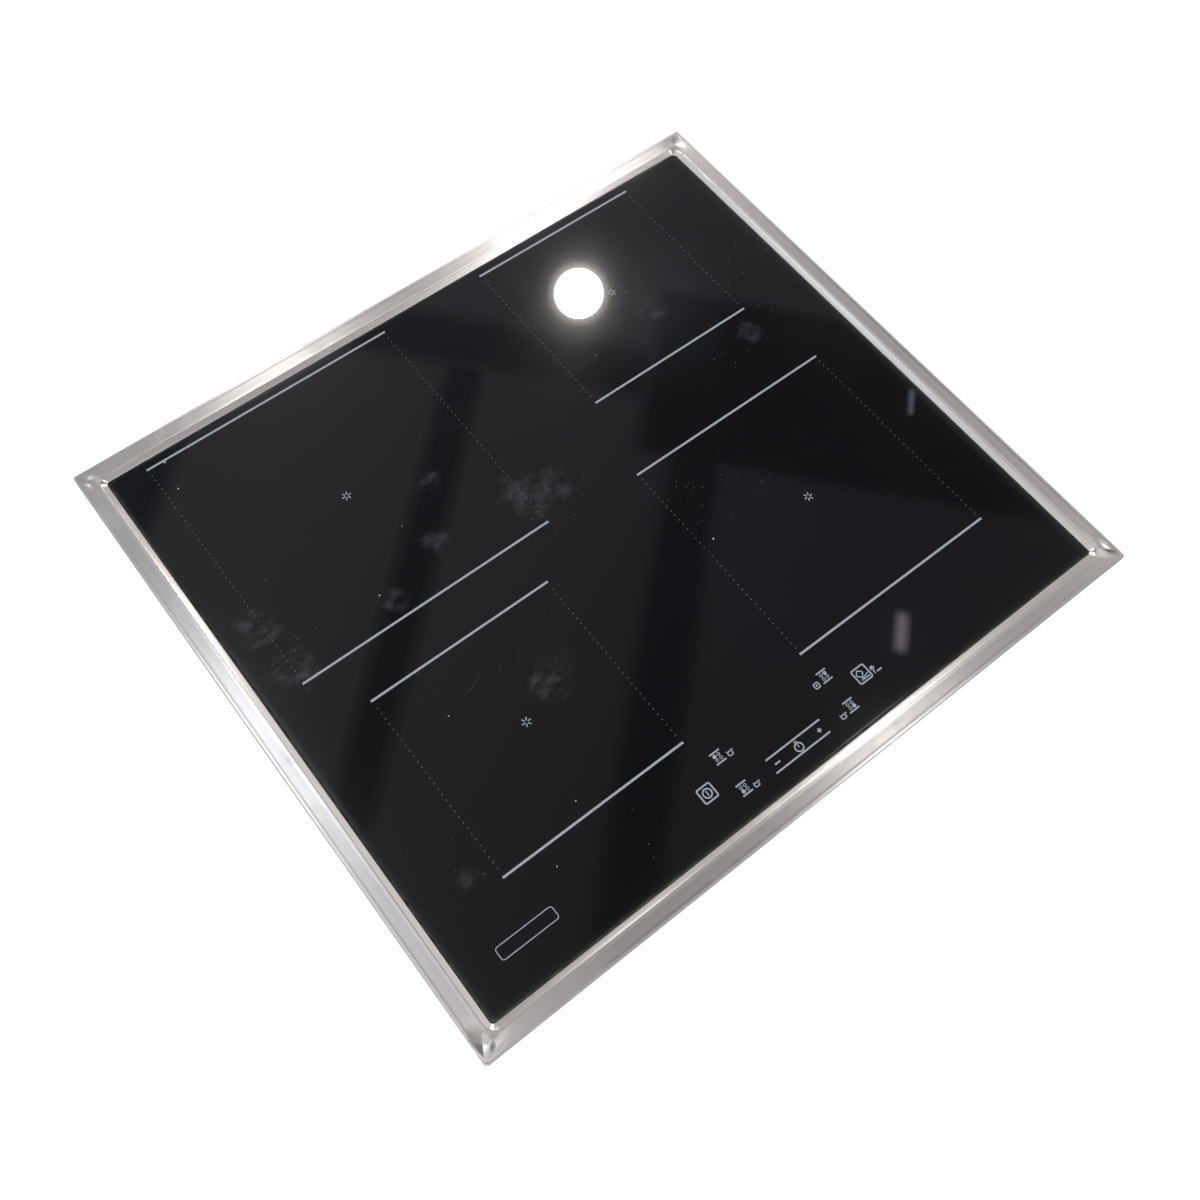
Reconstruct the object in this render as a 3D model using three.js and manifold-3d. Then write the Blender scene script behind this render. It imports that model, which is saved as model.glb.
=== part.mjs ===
// Built-in electric induction hob: a stainless trim frame round a black glass-ceramic plate,
// four coils under it, and the electronics, fans and mains terminal in a steel tray below.
// Millimetres. +X right, +Y back, +Z up. The origin is under the middle of the tray, at the feet.

import * as THREE from 'three';
import { mergeVertices } from 'three/addons/utils/BufferGeometryUtils.js';
import Module from 'manifold-3d';

const wasm = await Module();
wasm.setup();

// ---- Overall ----
const WIDTH = 580;
const DEPTH = 510;
const HEIGHT = 56;
const FIT = 0.3; // gap between pieces that rest on or fit in each other
const OVERCUT = 1; // how far a cutting tool runs past the face it cuts

// ---- Fineness of the round shapes, in sides of a full circle ----
const SMALL_SIDES = 8;
const MEDIUM_SIDES = 12;
const LARGE_SIDES = 24;

// ---- Trim frame, glass and seals ----
const FLANGE = 18; // outer edge of the frame to the glass
const FRAME_SHEET = 1;
const FRAME_CORNER = 4;
const GLASS_CORNER = 3;
const EDGE_ROUND = 2.8;
const SKIRT = 5; // height of the frame's turned-down edge
const LIP_WIDTH = 5; // band that slopes from the flange down to the glass
const LIP_DROP = 1.1;
const LIP_WALL = 0.4; // the lip's wall stands this far outside the glass line
const SEAT_WIDTH = 9;
const GLASS_THICK = 4;
const GLASS_GAP = 0.8; // glass line to the ground edge of the plate
const GLASS_BEVEL = 0.5;
const SEAL_THICK = 0.6;
const GASKET_WIDTH = 9.6;
const GASKET_PROUD = 0.6;

// ---- Tray ----
const TRAY_INSET = 14; // outer edge of the frame to the tray's wall
const TRAY_SHEET = 1;
const TRAY_CORNER = 4;
const TRAY_BELOW_TOP = 2.8;
const FOOT_DROP = 2;
const FOOT_RADIUS = 11;
const FOOT_INSET = 26;
const BEAD_DROP = 1;
const BEAD_WIDTH = 12;
const VENT_WIDTH = 3.6;
const VENT_PITCH = 9;
const WALL_VENT_HEIGHT = 20;
const WALL_VENT_LOW = 12; // floor to the lower end of the wall vents

// ---- Screws, lugs and worktop clips ----
const SCREW_RADIUS = 1.9;
const SCREW_HEAD_RADIUS = 3.6;
const SCREW_HEAD = 2.2;
const SCREW_LENGTH = 8;
const SCREW_BELOW_TOP = 12;
const LUG_WIDTH = 22;
const LUG_BELOW_SCREW = 5;
const SIDE_LUG_SETBACK = 91; // tray wall to the lugs of the two side walls
const END_LUG_SETBACK = 106; // tray wall to the lugs of the front and back walls
const CLIP_SHEET = 0.6;
const CLIP_WIDTH = 16;
const CLIP_DROP = 18; // screw to the clip's lower bend
const CLIP_SPREAD = 8.5;

// ---- Heating zones ----
const REAR_BAR = 8; // back edge of the glass to the marks of the rear zones
const FRONT_BAR = 67.6; // front edge of the glass to the marks of the front zones
const ZONES = [
  { place: 'rear_left', side: -1, end: 1, size: 210, fromEdge: 134.5 },
  { place: 'rear_right', side: 1, end: 1, size: 150, fromEdge: 135.5 },
  { place: 'front_left', side: -1, end: -1, size: 150, fromEdge: 134.5 },
  { place: 'front_right', side: 1, end: -1, size: 180, fromEdge: 135.5 },
];
const COIL_MARGIN = 5; // zone mark to the outermost turn
const COIL_CORE = 21; // radius of the innermost turn
const WINDING_THICK = 4.2;
const WINDING_CHAMFER = 1;
const MICA_THICK = 0.6;
const MICA_BORDER = 2;
const CARRIER_WEB = 2;
const CARRIER_RIM = 2.4;
const CARRIER_RIM_HEIGHT = 2.5;
const HUB_BORE = 8;
const HUB_WALL = 2;
const FERRITE_THICK = 3;
const FERRITE_WIDTH = 14;
const FERRITE_COUNT = 8;
const SPRING_RISE = 2.4;
const SPRING_SHEET = 0.6;
const SPRING_WIDTH = 18;
const SPRING_SPAN = 84;
const SENSOR_RADIUS = 4;
const SENSOR_FOOT = 6.5;
const COIL_PLATE_THICK = 1.5;
const COIL_PLATE_GAP = 8; // between the left and right plates
const COIL_PLATE_INSET = 13; // tray wall to the plate
const PLATE_LEG_WIDTH = 12;
const PLATE_LEG_INSET = 4;
const PLATE_BORE = 11;

// ---- Electronics ----
const BOARD_THICK = 1.6;
const BOARD_LIFT = 5;
const BOARD_POST_RADIUS = 3;
const BOARD_INSET = 17; // tray wall to the power boards
const BOARD_GAP = 16; // between the left and right power boards
const BOARD_FRONT = 90; // tray wall to the front edge of the power boards
const BOARD_DEPTH = 190;
const SINK_WIDTH = 110;
const SINK_DEPTH = 90;
const SINK_HEIGHT = 20;
const SINK_BASE = 3;
const SINK_FINS = 12;
const SINK_FIN_THICK = 1.6;
const SINK_BEHIND = 10; // back edge of the power board to the heat sink
const FAN_SIZE = 80;
const FAN_HEIGHT = 15;
const FAN_BEHIND = 10; // power board to the fan
const FAN_RIM = 3;
const FAN_HUB = 16;
const FAN_BLADES = 7;
const FAN_BLADE_THICK = 1.4;
const FAN_BLADE_PITCH = 35; // degrees
const FAN_CLEAR = 1.2; // blade tips to the housing
const FAN_SHAFT = 1.5;
const FAN_PLATE = 2;
const CONTROL_WIDTH = 196;
const CONTROL_DEPTH = 44;
const CONTROL_WALL = 1.6;
const CONTROL_SETBACK = 1; // seat of the frame to the control holder
const CONTROL_LEG = 8;
const TOUCH_PAD_RADIUS = 4.5;
const TOUCH_PAD_HEIGHT = 2.6;
const FILTER_DEPTH = 62;
const CHOKE_RADIUS = 13;
const CHOKE_WIRE = 5.5;
const CAPACITOR_WIDTH = 26;
const CAPACITOR_DEPTH = 13;
const CAPACITOR_HEIGHT = 19;

// ---- Mains terminal ----
const TERMINAL_WIDTH = 84;
const TERMINAL_DEPTH = 66;
const TERMINAL_TOP = 26;
const TERMINAL_LOW = 1.2;
const TERMINAL_WALL = 2;
const TERMINAL_INSET = 44; // side wall of the tray to the terminal box
const TERMINAL_BACK = 6; // back wall of the tray to the terminal box
const TERMINAL_RIM = 4;
const COVER_THICK = 2;
const COVER_FIT = 0.5;
const HINGE_RADIUS = 2.2;
const HINGE_PIN = 1.2;
const HINGE_CLEAR = 0.4;
const BLOCK_WIDTH = 64;
const BLOCK_DEPTH = 20;
const BLOCK_HEIGHT = 12;
const BLOCK_SETBACK = 12;
const BLOCK_WAYS = 6;
const CORD_HEIGHT = 15; // feet to the middle of the cord
const CORD_BORE = 5.5;
const BUSH_WALL = 2.5;
const BUSH_FLANGE = 10;
const CLAMP_WIDTH = 36;
const CLAMP_DEPTH = 9;
const CLAMP_THICK = 4.5;
const CLAMP_REACH = 12; // middle of the cord to each clamp screw
const CLAMP_SETBACK = 10; // back wall of the box to the clamp's middle

// ---- Levels and lines that follow from the sizes above ----
const halfX = WIDTH / 2;
const halfY = DEPTH / 2;
const glassTop = HEIGHT - LIP_DROP;
const glassLow = glassTop - GLASS_THICK;
const seatTop = glassLow - SEAL_THICK - 2 * FIT;
const seatLow = seatTop - FRAME_SHEET;
const trayX = halfX - TRAY_INSET;
const trayY = halfY - TRAY_INSET;
const bayX = trayX - TRAY_SHEET;
const bayY = trayY - TRAY_SHEET;
const trayTop = HEIGHT - TRAY_BELOW_TOP;
const floorTop = FOOT_DROP + TRAY_SHEET;
const screwZ = HEIGHT - SCREW_BELOW_TOP;
const lugWall = FLANGE - LIP_WALL; // inner face of the lip's wall, from the frame's edge
const micaTop = glassLow - FIT;
const windingTop = micaTop - MICA_THICK - FIT;
const carrierTop = windingTop - WINDING_THICK - FIT;
const ferriteLow = carrierTop - CARRIER_WEB - FERRITE_THICK;
const springTop = ferriteLow - FIT;
const plateTop = springTop - SPRING_RISE - SPRING_SHEET - FIT;
const plateLow = plateTop - COIL_PLATE_THICK;
const boardLow = floorTop + BOARD_LIFT;
const boardTop = boardLow + BOARD_THICK;
const boardBack = -bayY + BOARD_FRONT + BOARD_DEPTH;
const bayMiddle = (bayX - BOARD_INSET + BOARD_GAP / 2) / 2;
const fanY = boardBack + FAN_BEHIND + FAN_SIZE / 2;
const boxX = -(bayX - TERMINAL_INSET - TERMINAL_WIDTH / 2);
const boxBack = bayY - TERMINAL_BACK;
const boxFront = boxBack - TERMINAL_DEPTH;
const hingeY = boxFront + TERMINAL_WALL + HINGE_RADIUS + HINGE_CLEAR;
const hingeZ = TERMINAL_LOW + HINGE_RADIUS;
const clampY = boxBack - TERMINAL_WALL - CLAMP_SETBACK;

// ---- Geometry helpers ----

// Signed volume of an indexed geometry, positive when its faces point out.
function volumeOf(position, index) {
  const a = new THREE.Vector3();
  const b = new THREE.Vector3();
  const c = new THREE.Vector3();
  let sum = 0;
  for (let i = 0; i < index.length; i += 3) {
    a.fromBufferAttribute(position, index[i]);
    b.fromBufferAttribute(position, index[i + 1]);
    c.fromBufferAttribute(position, index[i + 2]);
    sum += a.dot(b.cross(c)) / 6;
  }
  return sum;
}

// Shared vertices merged, zero triangles dropped and faces turned outwards.
function closed(geometry) {
  const bare = new THREE.BufferGeometry();
  bare.setAttribute('position', geometry.getAttribute('position'));
  bare.setIndex(geometry.index);
  const merged = mergeVertices(bare, 1e-4);
  const index = [];
  for (let i = 0; i < merged.index.count; i += 3) {
    const [a, b, c] = [0, 1, 2].map((k) => merged.index.getX(i + k));
    if (a !== b && b !== c && c !== a) index.push(a, b, c);
  }
  if (volumeOf(merged.getAttribute('position'), index) < 0) index.reverse();
  merged.setIndex(index);
  return merged;
}

function solidOf(geometry) {
  const ready = closed(geometry);
  return new wasm.Manifold(new wasm.Mesh({
    numProp: 3,
    vertProperties: new Float32Array(ready.getAttribute('position').array),
    triVerts: new Uint32Array(ready.index.array),
  }));
}

function geometryOf(solid) {
  const mesh = solid.getMesh();
  const geometry = new THREE.BufferGeometry();
  geometry.setAttribute('position', new THREE.BufferAttribute(mesh.vertProperties, mesh.numProp));
  geometry.setIndex(new THREE.BufferAttribute(mesh.triVerts, 1));
  return geometry;
}

function joined(geometries) {
  return geometryOf(geometries.map(solidOf).reduce((whole, next) => whole.add(next)));
}

function cut(geometry, tools) {
  return geometryOf(tools.map(solidOf).reduce((left, tool) => left.subtract(tool), solidOf(geometry)));
}

function block(x0, x1, y0, y1, z0, z1) {
  const box = new THREE.BoxGeometry(x1 - x0, y1 - y0, z1 - z0);
  return box.translate((x0 + x1) / 2, (y0 + y1) / 2, (z0 + z1) / 2);
}

function post(radius, x, y, z0, z1, sides = MEDIUM_SIDES) {
  const rod = new THREE.CylinderGeometry(radius, radius, z1 - z0, sides);
  return rod.rotateX(Math.PI / 2).translate(x, y, (z0 + z1) / 2);
}

function rodX(radius, x0, x1, y, z, sides = MEDIUM_SIDES) {
  const rod = new THREE.CylinderGeometry(radius, radius, x1 - x0, sides);
  return rod.rotateZ(Math.PI / 2).translate((x0 + x1) / 2, y, z);
}

function rodY(radius, x, y0, y1, z, sides = 2 * SMALL_SIDES) {
  const rod = new THREE.CylinderGeometry(radius, radius, y1 - y0, sides);
  return rod.translate(x, (y0 + y1) / 2, z);
}

// A profile of [radius, z] points turned about the Z axis. A ring's profile closes on itself.
function turned(profile, sides, ring = true) {
  const points = profile.map(([radius, z]) => new THREE.Vector2(radius, z));
  if (ring) points.push(points[0].clone());
  return new THREE.LatheGeometry(points, sides).rotateX(Math.PI / 2);
}

function roundedShape(width, depth, radius) {
  const shape = new THREE.Shape();
  const x = width / 2 - radius;
  const y = depth / 2 - radius;
  shape.absarc(x, -y, radius, -Math.PI / 2, 0);
  shape.absarc(x, y, radius, 0, Math.PI / 2);
  shape.absarc(-x, y, radius, Math.PI / 2, Math.PI);
  shape.absarc(-x, -y, radius, Math.PI, Math.PI * 1.5);
  return shape;
}

function roundedPlate(width, depth, radius, z0, z1, curveSegments = 3) {
  const shape = roundedShape(width, depth, radius);
  const plate = new THREE.ExtrudeGeometry(shape, { depth: z1 - z0, bevelEnabled: false, curveSegments });
  return plate.translate(0, 0, z0);
}

// One rounded rectangle, a given distance inside the frame's outer edge.
function frameLoop(inset, z, segments) {
  const share = Math.min(inset / FLANGE, 1);
  const radius = FRAME_CORNER + (GLASS_CORNER - FRAME_CORNER) * share;
  const x = halfX - inset - radius;
  const y = halfY - inset - radius;
  const loop = [];
  for (let corner = 0; corner < 4; corner += 1) {
    const sx = corner === 0 || corner === 3 ? 1 : -1;
    const sy = corner < 2 ? 1 : -1;
    for (let i = 0; i <= segments; i += 1) {
      const angle = (corner + i / segments) * (Math.PI / 2);
      loop.push([sx * x + radius * Math.cos(angle), sy * y + radius * Math.sin(angle), z]);
    }
  }
  return loop;
}

// A closed section of [inset, z] points carried round the frame.
function frameRing(section, segments = 3) {
  const loops = section.map(([inset, z]) => frameLoop(inset, z, segments));
  const around = loops[0].length;
  const index = [];
  for (let s = 0; s < loops.length; s += 1) {
    const next = (s + 1) % loops.length;
    for (let i = 0; i < around; i += 1) {
      const [a, b] = [s * around + i, s * around + ((i + 1) % around)];
      const [c, d] = [next * around + i, next * around + ((i + 1) % around)];
      index.push(a, b, d, a, d, c);
    }
  }
  const geometry = new THREE.BufferGeometry();
  geometry.setAttribute('position', new THREE.Float32BufferAttribute(loops.flat(2), 3));
  geometry.setIndex(index);
  return geometry;
}

function steel(color = 0xa9a69f, roughness = 0.32) {
  return { color, roughness, metalness: 1 };
}

function plastic(color, roughness = 0.5) {
  return { color, roughness, metalness: 0 };
}

function piece(name, geometry, finish) {
  const mesh = new THREE.Mesh(closed(geometry), new THREE.MeshStandardMaterial(finish));
  mesh.name = name;
  return mesh;
}

// ---- Frame, glass and seals ----

function flangeArc(radius, from) {
  const steps = 3;
  const points = [];
  for (let i = 0; i <= steps; i += 1) {
    const angle = (i / steps) * (Math.PI / 2);
    const inset = EDGE_ROUND - radius * Math.cos(angle);
    points.push([inset, HEIGHT - EDGE_ROUND + radius * Math.sin(angle)]);
  }
  return from === 'outside' ? points : points.reverse();
}

function frameSection() {
  const inner = FLANGE + SEAT_WIDTH;
  const lipStart = FLANGE - LIP_WIDTH;
  return [
    [0, HEIGHT - SKIRT],
    ...flangeArc(EDGE_ROUND, 'outside'),
    [lipStart, HEIGHT],
    [lugWall - LIP_WALL, glassTop],
    [lugWall, glassTop - LIP_WALL],
    [lugWall, seatTop],
    [inner, seatTop],
    [inner, seatLow],
    [lugWall - FRAME_SHEET, seatLow],
    [lugWall - FRAME_SHEET, glassTop - FRAME_SHEET],
    [lipStart, HEIGHT - FRAME_SHEET],
    ...flangeArc(EDGE_ROUND - FRAME_SHEET, 'inside'),
    [FRAME_SHEET, HEIGHT - SKIRT],
  ];
}

// Every lug and its screw: where it stands and which way its screw points out of the tray.
function lugPlaces() {
  const places = [];
  const sideY = trayY - SIDE_LUG_SETBACK;
  const endX = trayX - END_LUG_SETBACK;
  for (const sx of [-1, 1]) {
    for (const sy of [-1, 1]) {
      const word = `${sy < 0 ? 'front' : 'rear'}_${sx < 0 ? 'left' : 'right'}`;
      places.push({ name: `side_${word}`, clip: true, x: sx * trayX, y: sy * sideY, turn: sx < 0 ? 180 : 0 });
      places.push({ name: `end_${word}`, clip: false, x: sx * endX, y: sy * trayY, turn: sy * 90 });
    }
  }
  return places;
}

// Puts geometry made for a wall that faces +X, with its outer face at X = 0, against a lug's wall.
function onWall(geometry, place) {
  return geometry.rotateZ(THREE.MathUtils.degToRad(place.turn)).translate(place.x, place.y, 0);
}

function lug() {
  const face = lugWall - TRAY_INSET;
  const low = screwZ - LUG_BELOW_SCREW;
  return block(-face, FRAME_SHEET - face, -LUG_WIDTH / 2, LUG_WIDTH / 2, low, seatTop - FIT);
}

function screwHole() {
  return rodX(SCREW_RADIUS + FIT, -SCREW_LENGTH, SCREW_LENGTH, 0, screwZ, SMALL_SIDES);
}

function trimFrame() {
  const places = lugPlaces();
  const lugs = places.map((place) => onWall(lug(), place));
  const holes = places.map((place) => onWall(screwHole(), place));
  return piece('trim_frame', cut(joined([frameRing(frameSection()), ...lugs]), holes), steel());
}

function glassPlate() {
  const inset = FLANGE + GLASS_GAP + GLASS_BEVEL;
  const shape = roundedShape(WIDTH - 2 * inset, DEPTH - 2 * inset, GLASS_CORNER);
  const plate = new THREE.ExtrudeGeometry(shape, {
    depth: GLASS_THICK - 2 * GLASS_BEVEL,
    bevelThickness: GLASS_BEVEL,
    bevelSize: GLASS_BEVEL,
    bevelSegments: 1,
    curveSegments: 3,
  });
  plate.translate(0, 0, glassLow + GLASS_BEVEL);
  return piece('glass_plate', plate, { color: 0x141416, roughness: 0.06, metalness: 0 });
}

function glassSeal() {
  const outer = lugWall + FIT;
  const edge = FLANGE + GLASS_GAP - FIT;
  const inner = FLANGE + SEAT_WIDTH - FIT;
  const top = glassTop - LIP_WALL;
  const section = [
    [outer, seatTop + FIT],
    [inner, seatTop + FIT],
    [inner, glassLow - FIT],
    [edge, glassLow - FIT],
    [edge, top],
    [outer, top],
  ];
  return piece('glass_seal', frameRing(section), plastic(0x0b0b0c, 0.7));
}

function frameGasket() {
  const outer = FRAME_SHEET + EDGE_ROUND / 2;
  const low = HEIGHT - SKIRT - GASKET_PROUD;
  const top = HEIGHT - FRAME_SHEET - 2 * FIT;
  const section = [
    [outer, low],
    [outer + GASKET_WIDTH, low],
    [outer + GASKET_WIDTH, top],
    [outer, top],
  ];
  return piece('frame_gasket', frameRing(section, 2), plastic(0x2b2b2c, 0.95));
}

// ---- Tray ----

function footPlaces() {
  const places = [];
  for (const sx of [-1, 1]) {
    for (const sy of [-1, 1]) places.push([sx * (trayX - FOOT_INSET), sy * (trayY - FOOT_INSET)]);
  }
  return places;
}

function cone(lowRadius, topRadius, x, y, z0, z1) {
  const shape = new THREE.CylinderGeometry(topRadius, lowRadius, z1 - z0, MEDIUM_SIDES);
  return shape.rotateX(Math.PI / 2).translate(x, y, (z0 + z1) / 2);
}

// Long stiffening beads pressed down into the floor, between the fans' grilles and the front vents.
function beads(width, z0, z1) {
  const length = BOARD_DEPTH - BEAD_WIDTH;
  const y = boardBack - BOARD_DEPTH / 2;
  const middles = [-1, 1].flatMap((side) => [side * (bayMiddle - SINK_WIDTH / 2), side * (bayMiddle + SINK_WIDTH / 2)]);
  const extra = width - BEAD_WIDTH;
  return middles.map((x) => roundedPlate(width, length + extra, width / 2.01, z0, z1, 2).translate(x, y, 0));
}

// Straight slots across a round grille under a fan.
function grille(x, y) {
  const reach = FAN_SIZE / 2 - FAN_RIM - FAN_CLEAR;
  const rows = Math.floor(reach / VENT_PITCH);
  const slots = [];
  for (let i = -rows; i <= rows; i += 1) {
    const half = Math.sqrt(reach ** 2 - (i * VENT_PITCH) ** 2);
    const low = y + i * VENT_PITCH - VENT_WIDTH / 2;
    slots.push(block(x - half, x + half, low, low + VENT_WIDTH, FOOT_DROP - OVERCUT, floorTop + OVERCUT));
  }
  return slots;
}

// A row of upright slots through the front or back wall, centred on x.
function wallVents(x, end, count) {
  const low = floorTop + WALL_VENT_LOW;
  const [y0, y1] = [end * trayY - TRAY_SHEET - OVERCUT, end * trayY + TRAY_SHEET + OVERCUT];
  const slots = [];
  for (let i = 0; i < count; i += 1) {
    const middle = x + (i - (count - 1) / 2) * VENT_PITCH;
    slots.push(block(middle - VENT_WIDTH / 2, middle + VENT_WIDTH / 2, y0, y1, low, low + WALL_VENT_HEIGHT));
  }
  return slots;
}

function sideVents(side, y, count) {
  const turned90 = wallVents(y, 1, count).map((slot) => slot.translate(0, -trayY, 0).rotateZ(-Math.PI / 2));
  return turned90.map((slot) => slot.translate(side * trayX, 0, 0));
}

function trayCuts() {
  const low = FOOT_DROP - OVERCUT;
  const high = floorTop + OVERCUT;
  const holes = lugPlaces().map((place) => onWall(screwHole(), place));
  const boxHalf = TERMINAL_WIDTH / 2 + FIT;
  return [
    ...holes,
    ...[-1, 1].flatMap((side) => grille(side * bayMiddle, fanY)),
    ...[-1, 1].flatMap((side) => wallVents(side * bayMiddle, -1, 10)),
    ...wallVents(bayMiddle, 1, 10),
    ...wallVents(-BOARD_GAP * 3, 1, 6),
    ...[-1, 1].flatMap((side) => sideVents(side, 0, 6)),
    block(boxX - boxHalf, boxX + boxHalf, boxFront - FIT, boxBack + FIT, low, high),
    rodY(CORD_BORE + BUSH_WALL + FIT, boxX, bayY - OVERCUT, trayY + OVERCUT, CORD_HEIGHT),
  ];
}

function bottomTray() {
  const shell = cut(
    roundedPlate(2 * trayX, 2 * trayY, TRAY_CORNER, FOOT_DROP, trayTop),
    [roundedPlate(2 * bayX, 2 * bayY, TRAY_CORNER - TRAY_SHEET, floorTop, trayTop + OVERCUT)],
  );
  const dished = FOOT_RADIUS + FOOT_DROP;
  const feet = footPlaces().map(([x, y]) => cone(FOOT_RADIUS, dished, x, y, 0, FOOT_DROP + FIT));
  const hollows = footPlaces().map(([x, y]) => {
    const slope = dished - TRAY_SHEET;
    return cone(FOOT_RADIUS - TRAY_SHEET, slope, x, y, TRAY_SHEET, floorTop + OVERCUT);
  });
  const ribs = beads(BEAD_WIDTH, FOOT_DROP - BEAD_DROP, floorTop - FIT);
  const grooves = beads(BEAD_WIDTH - 2 * TRAY_SHEET, floorTop - BEAD_DROP, floorTop + OVERCUT);
  const body = joined([shell, ...feet, ...ribs]);
  return piece('bottom_tray', cut(body, [...hollows, ...grooves, ...trayCuts()]), steel(0xb3b6b8, 0.45));
}

// ---- Screws and worktop clips ----

// A pan-head screw along X: its head starts at `seat` and its shank points inwards.
function wallScrew(seat) {
  const shank = rodX(SCREW_RADIUS, seat - SCREW_LENGTH, seat + FIT, 0, screwZ, SMALL_SIDES);
  const head = rodX(SCREW_HEAD_RADIUS, seat, seat + SCREW_HEAD, 0, screwZ);
  return cut(joined([shank, head]), [crossRecess(seat + SCREW_HEAD)]);
}

function crossRecess(face) {
  const half = SCREW_HEAD_RADIUS * 0.6;
  const arm = SCREW_HEAD_RADIUS * 0.16;
  const depth = SCREW_HEAD / 2;
  return joined([
    block(face - depth, face + OVERCUT, -half, half, screwZ - arm, screwZ + arm),
    block(face - depth, face + OVERCUT, -arm, arm, screwZ - half, screwZ + half),
  ]);
}

// A band of even thickness along a line of [x, z] points, made into a strip `width` wide in Y.
function strip(line, thickness, width) {
  const points = line.map(([x, z]) => new THREE.Vector2(x, z));
  const normals = points.map((point, i) => {
    const before = points[Math.max(i - 1, 0)];
    const after = points[Math.min(i + 1, points.length - 1)];
    const along = after.clone().sub(before).normalize();
    return new THREE.Vector2(-along.y, along.x).multiplyScalar(thickness / 2);
  });
  const left = points.map((point, i) => point.clone().add(normals[i]));
  const right = points.map((point, i) => point.clone().sub(normals[i]));
  const shape = new THREE.Shape([...left, ...right.reverse()]);
  const band = new THREE.ExtrudeGeometry(shape, { depth: width, bevelEnabled: false });
  return band.rotateX(Math.PI / 2).translate(0, width / 2, 0);
}

// A spring clip: its back lies on the tray's wall and its leaf spreads out and up from a lower bend.
function worktopClip() {
  const back = FIT + CLIP_SHEET / 2;
  const low = screwZ - CLIP_DROP;
  const line = [
    [back, screwZ + SCREW_HEAD_RADIUS],
    [back, low + 1.4],
    [back + 0.5, low + 0.4],
    [back + 1.6, low],
    [back + 2.7, low + 0.8],
    [CLIP_SPREAD, screwZ - 5],
    [CLIP_SPREAD + 0.3, screwZ - 3.4],
    [CLIP_SPREAD - 2, screwZ + 1],
  ];
  return cut(strip(line, CLIP_SHEET, CLIP_WIDTH), [clipHole()]);
}

function clipHole() {
  return rodX(SCREW_RADIUS + FIT, 0, 3 * CLIP_SHEET, 0, screwZ, SMALL_SIDES);
}

function fasteners() {
  const group = new THREE.Group();
  for (const place of lugPlaces()) {
    const wall = new THREE.Group();
    wall.position.set(place.x, place.y, 0);
    wall.rotation.z = THREE.MathUtils.degToRad(place.turn);
    const seat = place.clip ? CLIP_SHEET + 2 * FIT : FIT;
    wall.add(piece(`screw_${place.name}`, wallScrew(seat), steel(0x8e9194, 0.35)));
    if (place.clip) wall.add(piece(`worktop_clip_${place.name.slice(5)}`, worktopClip(), steel(0x6d7073, 0.4)));
    group.add(wall);
  }
  return group;
}

// ---- Coils ----

function zoneMiddle(zone) {
  const x = zone.side * (halfX - FLANGE - zone.fromEdge);
  const bar = zone.end > 0 ? REAR_BAR : FRONT_BAR;
  return [x, zone.end * (halfY - FLANGE - bar - zone.size / 2)];
}

function coilRadius(zone) {
  return zone.size / 2 - COIL_MARGIN;
}

function winding(radius) {
  const low = windingTop - WINDING_THICK;
  const profile = [
    [COIL_CORE, low],
    [radius, low],
    [radius, windingTop - WINDING_CHAMFER],
    [radius - WINDING_CHAMFER, windingTop],
    [COIL_CORE + WINDING_CHAMFER, windingTop],
    [COIL_CORE, windingTop - WINDING_CHAMFER],
  ];
  return turned(profile, LARGE_SIDES);
}

function micaDisc(radius) {
  const outer = radius + MICA_BORDER;
  const low = micaTop - MICA_THICK;
  return turned([[HUB_BORE, low], [outer, low], [outer, micaTop], [HUB_BORE, micaTop]], LARGE_SIDES);
}

// A dished plastic carrier with a raised rim, a hub round the sensor and ferrite bars below.
function coilCarrier(radius) {
  const rimIn = radius + FIT;
  const rimOut = rimIn + CARRIER_RIM;
  const webLow = carrierTop - CARRIER_WEB;
  const hub = HUB_BORE + HUB_WALL;
  const rimTop = carrierTop + CARRIER_RIM_HEIGHT;
  const dish = turned([
    [HUB_BORE, webLow],
    [rimOut, webLow],
    [rimOut, rimTop],
    [rimIn, rimTop],
    [rimIn, carrierTop],
    [hub, carrierTop],
    [hub, rimTop],
    [HUB_BORE, rimTop],
  ], LARGE_SIDES);
  const bars = [];
  for (let i = 0; i < FERRITE_COUNT; i += 1) {
    const bar = block(COIL_CORE, radius, -FERRITE_WIDTH / 2, FERRITE_WIDTH / 2, ferriteLow, webLow + FIT);
    bars.push(bar.rotateZ((i / FERRITE_COUNT) * Math.PI * 2));
  }
  return joined([dish, ...bars]);
}

// A shallow bridge of spring steel that lifts the carrier off the coil plate.
function coilSpring() {
  const low = plateTop + FIT + SPRING_SHEET / 2;
  const high = low + SPRING_RISE;
  const half = SPRING_SPAN / 2;
  const line = [[-half, low], [-half + 6, low], [-half / 3, high], [half / 3, high], [half - 6, low], [half, low]];
  return strip(line, SPRING_SHEET, SPRING_WIDTH);
}

function sensor() {
  const low = springTop + FIT;
  const profile = [
    [0, low],
    [SENSOR_FOOT, low],
    [SENSOR_FOOT, low + 1.5],
    [SENSOR_RADIUS, low + 2.5],
    [SENSOR_RADIUS, micaTop - 1],
    [SENSOR_RADIUS - 1, micaTop],
    [0, micaTop],
  ];
  return turned(profile, MEDIUM_SIDES, false);
}

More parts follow.
